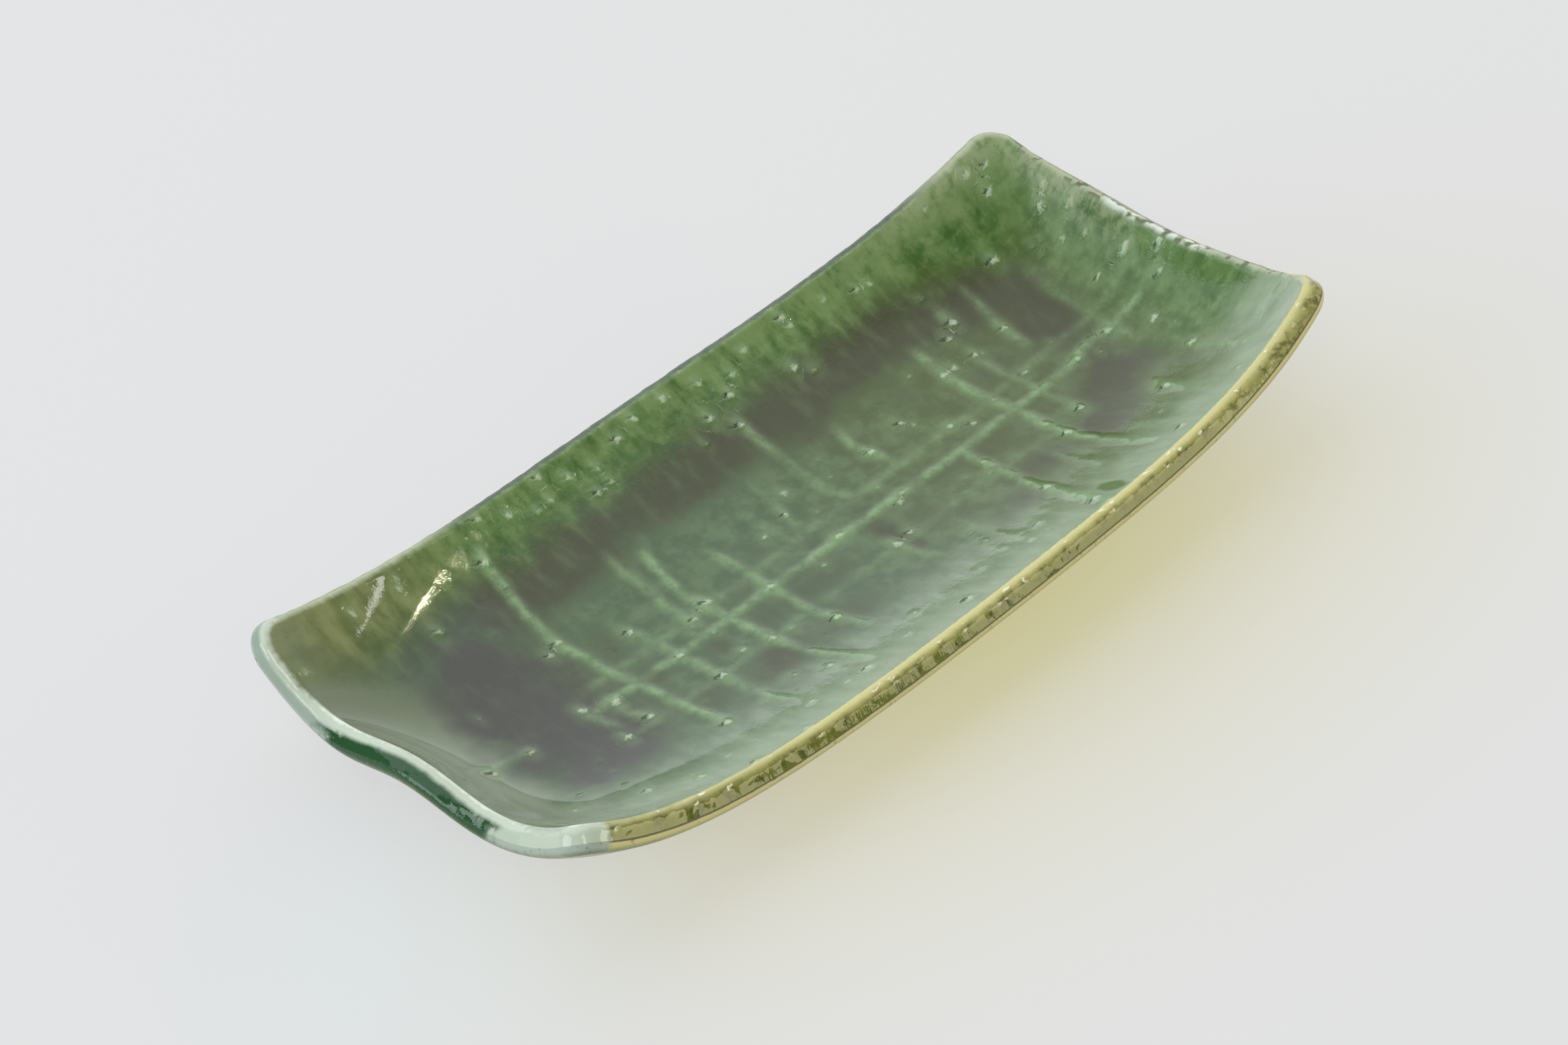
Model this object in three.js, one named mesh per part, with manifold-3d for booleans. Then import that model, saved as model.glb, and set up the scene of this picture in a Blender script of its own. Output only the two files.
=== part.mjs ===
// A long shallow serving plate of stoneware, hand formed from one rolled slab and glazed copper green.
// Its sides and ends are turned up, its four corners stand highest, and a soft rib runs along the middle,
// so that it reads as a folded leaf. Four clay pads carry it.
// Millimetres, +Z up. X runs along the plate and Y across it, with the far side at +Y.
import * as THREE from 'three';
import Module from 'manifold-3d';
import { mergeVertices } from 'three/addons/utils/BufferGeometryUtils.js';

// Plan of the slab, between the corners, and how far each edge bows out of its straight line
const LENGTH = 282;
const WIDTH = 119.5;
const FAR_BOW = 7.6;
const NEAR_BOW = 5.8;
const RIGHT_BULGE = 5.7;
const LEFT_DRAW_IN = 1.6;
const CORNER_RADIUS = 7.9;

// Heights of the upper edge over the middle of the floor
const FAR_SIDE_HEIGHT = 19.3;
const NEAR_SIDE_HEIGHT = 18.1;
const LEFT_END_HEIGHT = 24.4;
const RIGHT_END_HEIGHT = 24.2;
const FAR_CORNER_HEIGHT = 37.5;
const NEAR_CORNER_HEIGHT = 40;

// How the slab curves: the floor lifts a little to both ends, the sides rise in a bowl curve,
// and the ends turn up in a short lip
const FLOOR_RISE = 4.3;
const LIP_LENGTH = 30;
const BOWL_POWER = 2.3;
const LIP_POWER = 2.1;

// How late each edge starts to climb to its corners
const FAR_CLIMB = 3.2;
const NEAR_CLIMB = 4.8;
const LEFT_CLIMB = 5.2;
const RIGHT_CLIMB = 3.1;

// Unevenness of a hand-turned edge
const NEAR_EDGE_WAVE = 0.8;
const LEFT_EDGE_TILT = 1.7;
const LEFT_EDGE_DIP = 4.4;
const LEFT_EDGE_TWIST = 1.1;
const RIGHT_EDGE_SWELL = 2;

// Thicknesses, from the upper face down, and the rounding of the cut edge
const CLAY_THICKNESS = 5.6;
const GLAZE_THICKNESS = 0.7;
const SKIN_GAP = 0.3;
const EDGE_ROUND = 2.7;

// The rib, a ridge pressed up along the floor, which starts at this share of the half length
const RIB_HEIGHT = 1.5;
const RIB_HALF_WIDTH = 3.4;
const RIB_OFFSET = -2;
const RIB_START = -0.66;
const RIB_FADE = 12;

// The cross veins, lower ridges. Each has its place along the plate and its two ends across it,
// as shares of the half length and the half width.
const VEIN_HEIGHT = 0.9;
const VEIN_HALF_WIDTH = 2.2;
const VEIN_FADE = 7;
const VEINS = [
  { along: -0.5, from: -0.05, to: 0.8 },
  { along: -0.37, from: -0.92, to: -0.25 },
  { along: -0.3, from: -0.05, to: 0.6 },
  { along: -0.23, from: -0.82, to: 0.1 },
  { along: -0.12, from: -0.66, to: 0.2 },
  { along: 0.14, from: -0.03, to: 0.42 },
  { along: 0.2, from: -0.56, to: -0.12 },
  { along: 0.29, from: -0.05, to: 0.45 },
  { along: 0.4, from: -0.9, to: -0.1 },
  { along: 0.56, from: -0.88, to: 0.42 },
  { along: 0.72, from: -0.03, to: 0.56 },
];

// The foot pads: how far in they stand, their size, and the bare line wiped round each
const FOOT_END_INSET = 57;
const FOOT_SIDE_INSET = 33;
const FOOT_SEAT_RADIUS = 11;
const FOOT_BASE_RADIUS = 9;
const FOOT_EDGE_ROUND = 1.4;
const FOOT_WIPE = 1.2;
const STAND_OFF = 3.2;

// Facets
const LONG_CELLS = 26;
const CROSS_CELLS = 14;
const CORNER_CELLS = 3;
const ARC_CELLS = 3;
const FOOT_SIDES = 24;
const RIB_LINES = [-1, -0.5, 0, 0.5, 1];
const VEIN_LINES = [-1, 0, 1];

const PLATE_THICKNESS = CLAY_THICKNESS + 2 * (GLAZE_THICKNESS + SKIN_GAP);
const CLAY_BOTTOM = GLAZE_THICKNESS + SKIN_GAP + CLAY_THICKNESS;
const INNER_RADIUS = CORNER_RADIUS - EDGE_ROUND;
const TABLE_Z = -PLATE_THICKNESS - STAND_OFF;

// How far an end's upper edge strays from its smooth curve
function endWave(rightEnd, angle) {
  const quarters = Math.sin(angle) ** 2;
  if (rightEnd) return RIGHT_EDGE_SWELL * quarters;
  return LEFT_EDGE_TWIST * Math.sin(2 * angle) - LEFT_EDGE_TILT * Math.sin(angle) - LEFT_EDGE_DIP * quarters;
}

// Height of the upper face. u runs -1 to 1 along the plate and v -1 to 1 across it.
function faceHeight(u, v) {
  const au = Math.abs(u);
  const av = Math.abs(v);
  const corner = v > 0 ? FAR_CORNER_HEIGHT : NEAR_CORNER_HEIGHT;
  const sideMiddle = v > 0 ? FAR_SIDE_HEIGHT : NEAR_SIDE_HEIGHT;
  const sideClimb = v > 0 ? FAR_CLIMB : NEAR_CLIMB;
  const sideWave = v > 0 ? 0 : NEAR_EDGE_WAVE * Math.sin(Math.PI * u);
  const side = sideMiddle + (corner - sideMiddle) * au ** sideClimb + sideWave;
  const bowl = av ** BOWL_POWER;
  const trough = FLOOR_RISE * u * u * (1 - bowl) + side * bowl;
  const troughAtEnd = FLOOR_RISE * (1 - bowl) + corner * bowl;
  const endMiddle = u > 0 ? RIGHT_END_HEIGHT : LEFT_END_HEIGHT;
  const endClimb = u > 0 ? RIGHT_CLIMB : LEFT_CLIMB;
  const end = endMiddle + (corner - endMiddle) * av ** endClimb + endWave(u > 0, Math.PI * v);
  const lip = Math.max(0, 1 - ((1 - au) * LENGTH) / 2 / LIP_LENGTH) ** LIP_POWER;
  return trough + lip * (end - troughAtEnd);
}

function facePoint(u, v) {
  const bow = v > 0 ? FAR_BOW : NEAR_BOW;
  const bulge = u > 0 ? RIGHT_BULGE : -LEFT_DRAW_IN;
  const x = u * (LENGTH / 2 + bulge * (1 - v * v));
  const y = v * (WIDTH / 2 + bow * (1 - u * u));
  return new THREE.Vector3(x, y, faceHeight(u, v));
}

function faceNormal(u, v) {
  const step = 0.002;
  const along = facePoint(u + step, v).sub(facePoint(u - step, v));
  const across = facePoint(u, v + step).sub(facePoint(u, v - step));
  return along.cross(across).normalize();
}

// One ridge: round in section, and fading in and out over a short way at its two ends
function ridge(height, halfWidth, fade, aside, along, from, to) {
  const begin = THREE.MathUtils.smoothstep(along, from, from + fade);
  const finish = 1 - THREE.MathUtils.smoothstep(along, to - fade, to);
  return height * begin * finish * Math.exp(-((aside / halfWidth) ** 2));
}

// Height of the rib and the veins over the smooth upper face
function relief(u, v) {
  const halfX = LENGTH / 2;
  const halfY = WIDTH / 2;
  const x = u * halfX;
  const y = v * halfY;
  const ribEnd = halfX - EDGE_ROUND;
  const heights = VEINS.map(({ along, from, to }) => {
    return ridge(VEIN_HEIGHT, VEIN_HALF_WIDTH, VEIN_FADE, x - along * halfX, y, from * halfY, to * halfY);
  });
  heights.push(ridge(RIB_HEIGHT, RIB_HALF_WIDTH, RIB_FADE, y - RIB_OFFSET, x, RIB_START * halfX, ribEnd));
  return Math.hypot(...heights);
}

// Stations of the grid along one direction: evenly spaced, closer in the rounded corners, and with lines
// that follow the ridges
function stations(half, cells, ridges, lines, halfWidth) {
  const straight = half - INNER_RADIUS;
  const extra = ridges.flatMap((ridgeAt) => lines.map((line) => ridgeAt + line * halfWidth));
  const places = extra.map((value) => value / half);
  for (let i = 0; i <= cells; i += 1) {
    const place = (straight * (2 * i - cells)) / cells;
    if (extra.every((value) => Math.abs(value - place) > halfWidth / 2)) places.push(place / half);
  }
  for (let i = 1; i <= CORNER_CELLS; i += 1) {
    const place = (straight + (INNER_RADIUS * i) / CORNER_CELLS) / half;
    places.push(place, -place);
  }
  return places.sort((a, b) => a - b);
}

// Turns a point of the square grid into a point of the plan with round corners
function roundedPlan(p, q) {
  const halfX = LENGTH / 2 - EDGE_ROUND;
  const halfY = WIDTH / 2 - EDGE_ROUND;
  let x = p * halfX;
  let y = q * halfY;
  const s = (Math.abs(x) - (halfX - INNER_RADIUS)) / INNER_RADIUS;
  const t = (Math.abs(y) - (halfY - INNER_RADIUS)) / INNER_RADIUS;
  if (s > 0 && t > 0) {
    x = Math.sign(x) * (halfX - INNER_RADIUS + INNER_RADIUS * s * Math.sqrt(1 - (t * t) / 2));
    y = Math.sign(y) * (halfY - INNER_RADIUS + INNER_RADIUS * t * Math.sqrt(1 - (s * s) / 2));
  }
  return [(2 * x) / LENGTH, (2 * y) / WIDTH];
}

// Points of a rounded arris: radius, and the angles from level (0) to straight down (90) that it covers
function arc(radius, depth, from, to) {
  const points = [];
  for (let i = 0; i <= ARC_CELLS; i += 1) {
    const angle = THREE.MathUtils.degToRad(from + ((to - from) * i) / ARC_CELLS);
    points.push([radius * Math.cos(angle), depth - radius * Math.sin(angle)]);
  }
  return points;
}

// One closed layer of the slab. section lists [outward, down] points round its rim, from the upper face
// to the lower one; the first and last lie on the two faces.
function layer(section, ridgesAbove, ridgesBelow) {
  const halfX = LENGTH / 2 - EDGE_ROUND;
  const halfY = WIDTH / 2 - EDGE_ROUND;
  const veins = ridgesAbove ? VEINS.map(({ along }) => (along * LENGTH) / 2) : [];
  const ribs = ridgesAbove ? [RIB_OFFSET] : [];
  const ps = stations(halfX, LONG_CELLS, veins, VEIN_LINES, VEIN_HALF_WIDTH);
  const qs = stations(halfY, CROSS_CELLS, ribs, RIB_LINES, RIB_HALF_WIDTH);
  const columns = ps.length;
  const rows = qs.length;
  const positions = [];
  const indices = [];
  const add = (point) => positions.push(point.x, point.y, point.z) / 3 - 1;

  const face = (depth, ridges) => {
    const grid = [];
    for (let j = 0; j < rows; j += 1) {
      for (let i = 0; i < columns; i += 1) {
        const [u, v] = roundedPlan(ps[i], qs[j]);
        const lift = ridges ? relief(u, v) : 0;
        grid.push(add(facePoint(u, v).addScaledVector(faceNormal(u, v), lift - depth)));
      }
    }
    return grid;
  };
  const quad = (a, b, c, d) => indices.push(a, b, c, a, c, d);

  const upper = face(section[0][1], ridgesAbove);
  const lower = face(section[section.length - 1][1], ridgesBelow);
  for (let j = 0; j < rows - 1; j += 1) {
    for (let i = 0; i < columns - 1; i += 1) {
      const k = j * columns + i;
      quad(upper[k], upper[k + 1], upper[k + columns + 1], upper[k + columns]);
      quad(lower[k], lower[k + columns], lower[k + columns + 1], lower[k + 1]);
    }
  }

  const ring = [];
  for (let i = 0; i < columns - 1; i += 1) ring.push([i, 0]);
  for (let j = 0; j < rows - 1; j += 1) ring.push([columns - 1, j]);
  for (let i = columns - 1; i > 0; i -= 1) ring.push([i, rows - 1]);
  for (let j = rows - 1; j > 0; j -= 1) ring.push([0, j]);
  const places = ring.map(([i, j]) => roundedPlan(ps[i], qs[j]));
  const points = places.map(([u, v]) => facePoint(u, v));
  const normals = places.map(([u, v]) => faceNormal(u, v));
  const count = ring.length;
  const outward = points.map((point, k) => {
    const tangent = points[(k + 1) % count].clone().sub(points[(k + count - 1) % count]);
    return tangent.cross(normals[k]).normalize();
  });

  let previous = ring.map(([i, j]) => upper[j * columns + i]);
  const last = ring.map(([i, j]) => lower[j * columns + i]);
  const rims = section.slice(1, -1).map(([out, down]) => points.map((point, k) => {
    return add(point.clone().addScaledVector(outward[k], out).addScaledVector(normals[k], -down));
  }));
  [...rims, last].forEach((next) => {
    for (let k = 0; k < count; k += 1) {
      const n = (k + 1) % count;
      quad(previous[k], next[k], next[n], previous[n]);
    }
    previous = next;
  });

  const geometry = new THREE.BufferGeometry();
  geometry.setAttribute('position', new THREE.Float32BufferAttribute(positions, 3));
  geometry.setIndex(indices);
  return geometry;
}

// The rim sections of the three layers
function claySection() {
  const radius = EDGE_ROUND - GLAZE_THICKNESS - SKIN_GAP;
  const upper = arc(radius, EDGE_ROUND, 90, 0);
  const lower = arc(radius, PLATE_THICKNESS - EDGE_ROUND, 0, -90);
  return [...upper, ...lower];
}

function faceGlazeSection() {
  const stop = PLATE_THICKNESS - EDGE_ROUND;
  const outer = arc(EDGE_ROUND, EDGE_ROUND, 90, 0);
  const inner = arc(EDGE_ROUND - GLAZE_THICKNESS, EDGE_ROUND, 0, 90);
  return [...outer, [EDGE_ROUND, stop], [EDGE_ROUND - GLAZE_THICKNESS, stop], ...inner];
}

function backGlazeSection() {
  const centre = PLATE_THICKNESS - EDGE_ROUND;
  const startOf = (radius) => -THREE.MathUtils.radToDeg(Math.asin(SKIN_GAP / radius));
  const innerRadius = EDGE_ROUND - GLAZE_THICKNESS;
  const inner = arc(innerRadius, centre, -90, startOf(innerRadius));
  const outer = arc(EDGE_ROUND, centre, startOf(EDGE_ROUND), -90);
  return [...inner, ...outer];
}

// Plan place to the point of a level of the slab right above it
function levelAt(x, y, depth) {
  let u = (2 * x) / LENGTH;
  let v = (2 * y) / WIDTH;
  const point = new THREE.Vector3();
  for (let i = 0; i < 20; i += 1) {
    point.copy(facePoint(u, v)).addScaledVector(faceNormal(u, v), -depth);
    u += (x - point.x) / (LENGTH / 2);
    v += (y - point.y) / (WIDTH / 2 + FAR_BOW);
  }
  return point.z;
}

// A foot pad: a flat base, a rounded lower edge, a side that flares up, and a seat that follows the slab
function footPad(centreX, centreY) {
  const positions = [];
  const indices = [];
  const add = (x, y, z) => positions.push(x, y, z) / 3 - 1;
  const seatHeight = (x, y) => levelAt(x, y, CLAY_BOTTOM + SKIN_GAP);
  const ringAt = (radius, height) => {
    const ring = [];
    for (let k = 0; k < FOOT_SIDES; k += 1) {
      const angle = (2 * Math.PI * k) / FOOT_SIDES;
      const x = centreX + radius * Math.cos(angle);
      const y = centreY + radius * Math.sin(angle);
      ring.push(add(x, y, height === null ? seatHeight(x, y) : height));
    }
    return ring;
  };
  const lowerEdge = arc(FOOT_EDGE_ROUND, FOOT_EDGE_ROUND, 90, 0);
  const flat = FOOT_BASE_RADIUS - FOOT_EDGE_ROUND;
  const rings = lowerEdge.map(([out, up]) => ringAt(flat + out, TABLE_Z + up));
  rings.push(ringAt(FOOT_SEAT_RADIUS, null));
  rings.push(ringAt((FOOT_SEAT_RADIUS * 2) / 3, null));
  rings.push(ringAt(FOOT_SEAT_RADIUS / 3, null));
  const bottom = add(centreX, centreY, TABLE_Z);
  const top = add(centreX, centreY, seatHeight(centreX, centreY));
  for (let k = 0; k < FOOT_SIDES; k += 1) {
    const n = (k + 1) % FOOT_SIDES;
    indices.push(bottom, rings[0][n], rings[0][k]);
    for (let r = 0; r < rings.length - 1; r += 1) {
      indices.push(rings[r][k], rings[r][n], rings[r + 1][n]);
      indices.push(rings[r][k], rings[r + 1][n], rings[r + 1][k]);
    }
    const inner = rings[rings.length - 1];
    indices.push(top, inner[k], inner[n]);
  }
  const geometry = new THREE.BufferGeometry();
  geometry.setAttribute('position', new THREE.Float32BufferAttribute(positions, 3));
  geometry.setIndex(indices);
  return geometry;
}

const wasm = await Module();
wasm.setup();

function toSolid(geometry) {
  const bare = geometry.clone();
  bare.deleteAttribute('normal');
  bare.deleteAttribute('uv');
  const merged = mergeVertices(bare, 1e-4);
  return new wasm.Manifold(new wasm.Mesh({
    numProp: 3,
    vertProperties: new Float32Array(merged.attributes.position.array),
    triVerts: new Uint32Array(merged.index.array),
  }));
}

function toGeometry(solid) {
  const mesh = solid.getMesh();
  const geometry = new THREE.BufferGeometry();
  geometry.setAttribute('position', new THREE.Float32BufferAttribute(mesh.vertProperties, 3));
  geometry.setIndex(Array.from(mesh.triVerts));
  return geometry;
}

const footX = LENGTH / 2 - FOOT_END_INSET;
const footY = WIDTH / 2 - FOOT_SIDE_INSET;
const feet = [
  ['foot_near_left', -footX, -footY],
  ['foot_near_right', footX, -footY],
  ['foot_far_left', -footX, footY],
  ['foot_far_right', footX, footY],
];

// The back glaze is cut away round each foot, where the potter wipes it off
function backGlaze() {
  let solid = toSolid(layer(backGlazeSection(), false, false));
  const reach = FAR_CORNER_HEIGHT + NEAR_CORNER_HEIGHT;
  const radius = FOOT_SEAT_RADIUS + FOOT_WIPE;
  feet.forEach(([, x, y]) => {
    const hole = new THREE.CylinderGeometry(radius, radius, reach, FOOT_SIDES);
    hole.rotateX(Math.PI / 2);
    hole.translate(x, y, TABLE_Z + reach / 2);
    solid = solid.subtract(toSolid(hole));
  });
  return toGeometry(solid);
}

const clay = { color: 0x9a7b5e, roughness: 0.85, metalness: 0 };
const greenGlaze = { color: 0x5f7d4a, roughness: 0.15, metalness: 0 };
const backGreen = { color: 0x55703f, roughness: 0.22, metalness: 0 };

const plate = new THREE.Group();

function addPiece(name, geometry, finish) {
  geometry.computeVertexNormals();
  const mesh = new THREE.Mesh(geometry, new THREE.MeshStandardMaterial(finish));
  mesh.name = name;
  plate.add(mesh);
}

addPiece('slab_body', layer(claySection(), true, false), clay);
addPiece('glaze_face', layer(faceGlazeSection(), true, true), greenGlaze);
addPiece('glaze_back', backGlaze(), backGreen);
feet.forEach(([name, x, y]) => addPiece(name, footPad(x, y), clay));

// The origin is on the table, under the middle of the plate's outline
const box = new THREE.Box3().setFromObject(plate);
const centre = box.getCenter(new THREE.Vector3());
plate.position.set(-centre.x, -centre.y, -box.min.z);

export default plate;
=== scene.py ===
import math

import bpy
import numpy as np
from mathutils import Matrix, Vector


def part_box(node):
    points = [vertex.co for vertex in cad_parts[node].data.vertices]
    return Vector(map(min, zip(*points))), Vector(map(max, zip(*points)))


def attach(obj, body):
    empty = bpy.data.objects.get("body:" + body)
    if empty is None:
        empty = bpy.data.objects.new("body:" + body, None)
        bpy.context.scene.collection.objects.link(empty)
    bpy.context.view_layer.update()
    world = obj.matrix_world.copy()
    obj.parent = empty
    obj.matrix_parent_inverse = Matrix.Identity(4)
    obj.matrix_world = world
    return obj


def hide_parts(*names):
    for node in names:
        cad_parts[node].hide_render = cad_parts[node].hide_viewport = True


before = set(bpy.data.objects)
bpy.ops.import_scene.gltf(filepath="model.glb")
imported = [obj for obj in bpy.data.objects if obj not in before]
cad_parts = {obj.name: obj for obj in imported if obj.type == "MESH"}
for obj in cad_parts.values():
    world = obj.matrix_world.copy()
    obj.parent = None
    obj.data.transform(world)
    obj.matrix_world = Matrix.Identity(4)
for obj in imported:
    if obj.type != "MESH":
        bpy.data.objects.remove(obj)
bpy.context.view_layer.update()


# Clay slab
# One sheet of buff stoneware, rolled out, cut as an oblong leaf and laid in a shallow mould, so that its
# sides and ends turn up and its corners stand highest. A rib and its veins are pushed up in the soft clay.
LENGTH = 0.282
WIDTH = 0.1195
FAR_BOW = 0.0076
NEAR_BOW = 0.0058
RIGHT_BULGE = 0.0057
LEFT_DRAW_IN = 0.0016
CORNER_RADIUS = 0.0079

# Heights of the upper edge over the middle of the floor
FAR_SIDE_HEIGHT = 0.0193
NEAR_SIDE_HEIGHT = 0.0181
LEFT_END_HEIGHT = 0.0244
RIGHT_END_HEIGHT = 0.0242
FAR_CORNER_HEIGHT = 0.0375
NEAR_CORNER_HEIGHT = 0.040

# How the floor, the sides and the short lips at the ends curve up
FLOOR_RISE = 0.0043
LIP_LENGTH = 0.030
BOWL_POWER = 2.3
LIP_POWER = 2.1
FAR_CLIMB = 3.2
NEAR_CLIMB = 4.8
LEFT_CLIMB = 5.2
RIGHT_CLIMB = 3.1

# Unevenness of a hand-turned edge
NEAR_EDGE_WAVE = 0.0008
LEFT_EDGE_TILT = 0.0017
LEFT_EDGE_DIP = 0.0044
LEFT_EDGE_TWIST = 0.0011
RIGHT_EDGE_SWELL = 0.002

CLAY_THICKNESS = 0.0056
GLAZE_THICKNESS = 0.0007
SKIN_GAP = 0.0003
EDGE_ROUND = 0.0027
STAND_OFF = 0.0032
PLATE_THICKNESS = CLAY_THICKNESS + 2 * (GLAZE_THICKNESS + SKIN_GAP)
CLAY_TOP = GLAZE_THICKNESS + SKIN_GAP
INNER_RADIUS = CORNER_RADIUS - EDGE_ROUND

# The plate's middle stands over the middle of its four foot pads
FEET = ["foot_near_left", "foot_near_right", "foot_far_left", "foot_far_right"]
foot_places = np.array([np.mean([np.array(corner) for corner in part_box(foot)], axis=0) for foot in FEET])
MIDDLE = np.array([*foot_places[:, :2].mean(axis=0), PLATE_THICKNESS + STAND_OFF])


def face_height(u, v):
    """Height of the smooth upper face; u runs -1 to 1 along the plate and v -1 to 1 across it."""
    far = v > 0
    right = u > 0
    corner = np.where(far, FAR_CORNER_HEIGHT, NEAR_CORNER_HEIGHT)
    side_middle = np.where(far, FAR_SIDE_HEIGHT, NEAR_SIDE_HEIGHT)
    side_climb = np.where(far, FAR_CLIMB, NEAR_CLIMB)
    side_wave = np.where(far, 0, NEAR_EDGE_WAVE * np.sin(math.pi * u))
    side = side_middle + (corner - side_middle) * np.abs(u) ** side_climb + side_wave
    bowl = np.abs(v) ** BOWL_POWER
    trough = FLOOR_RISE * u * u * (1 - bowl) + side * bowl
    trough_at_end = FLOOR_RISE * (1 - bowl) + corner * bowl
    swell = np.sin(math.pi * v) ** 2
    left_wave = LEFT_EDGE_TWIST * np.sin(2 * math.pi * v) - LEFT_EDGE_TILT * np.sin(math.pi * v)
    end_wave = np.where(right, RIGHT_EDGE_SWELL * swell, left_wave - LEFT_EDGE_DIP * swell)
    end_middle = np.where(right, RIGHT_END_HEIGHT, LEFT_END_HEIGHT)
    end_climb = np.where(right, RIGHT_CLIMB, LEFT_CLIMB)
    end = end_middle + (corner - end_middle) * np.abs(v) ** end_climb + end_wave
    from_end = (1 - np.abs(u)) * LENGTH / 2
    lip = np.maximum(0, 1 - from_end / LIP_LENGTH) ** LIP_POWER
    return trough + lip * (end - trough_at_end)


def face_point(u, v):
    bow = np.where(v > 0, FAR_BOW, NEAR_BOW)
    bulge = np.where(u > 0, RIGHT_BULGE, -LEFT_DRAW_IN)
    x = u * (LENGTH / 2 + bulge * (1 - v * v))
    y = v * (WIDTH / 2 + bow * (1 - u * u))
    return np.stack([x, y, face_height(u, v)], axis=-1)


def unit(vectors):
    return vectors / np.linalg.norm(vectors, axis=-1, keepdims=True)


def face_normal(u, v):
    step = 0.002
    along = face_point(u + step, v) - face_point(u - step, v)
    across = face_point(u, v + step) - face_point(u, v - step)
    return unit(np.cross(along, across))


def stations(half, cell, corner_cells):
    """Grid lines along one direction: evenly spaced, and a fixed number in each rounded corner."""
    straight = half - INNER_RADIUS
    middle = np.linspace(-straight, straight, 4 * round(straight / cell / 2) + 1)
    corner = straight + INNER_RADIUS * np.arange(1, corner_cells + 1) / corner_cells
    return np.concatenate([-corner[::-1], middle, corner])


def rounded_plan(x, y):
    """Shares of the half length and half width of a grid point, once the corners are rounded."""
    half = np.array([LENGTH / 2 - EDGE_ROUND, WIDTH / 2 - EDGE_ROUND]) - INNER_RADIUS
    s = np.clip((np.abs(x) - half[0]) / INNER_RADIUS, 0, 1)
    t = np.clip((np.abs(y) - half[1]) / INNER_RADIUS, 0, 1)
    in_corner = (s > 0) & (t > 0)
    round_x = np.sign(x) * (half[0] + INNER_RADIUS * s * np.sqrt(1 - t * t / 2))
    round_y = np.sign(y) * (half[1] + INNER_RADIUS * t * np.sqrt(1 - s * s / 2))
    return np.where(in_corner, round_x, x) * 2 / LENGTH, np.where(in_corner, round_y, y) * 2 / WIDTH


def arc(radius, depth, start, end, cells):
    """Points [outward, down] of a rounded arris, between two angles from level (0) to straight down (90)."""
    angles = np.radians(np.linspace(start, end, cells + 1))
    return [[radius * math.cos(a), depth - radius * math.sin(a)] for a in angles]


def add_piece(name, vertices, faces):
    mesh = bpy.data.meshes.new(name)
    mesh.from_pydata(vertices, [], faces)
    piece = bpy.data.objects.new(name, mesh)
    bpy.context.collection.objects.link(piece)
    return piece


def store(piece, name, values):
    """Keeps a number or a vector for each vertex, under a name that the node trees read."""
    values = np.asarray(values, np.float32)
    kind, field = ("FLOAT", "value") if values.ndim == 1 else ("FLOAT_VECTOR", "vector")
    attribute = piece.data.attributes.new(name, kind, "POINT")
    attribute.data.foreach_set(field, values.ravel())


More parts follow.
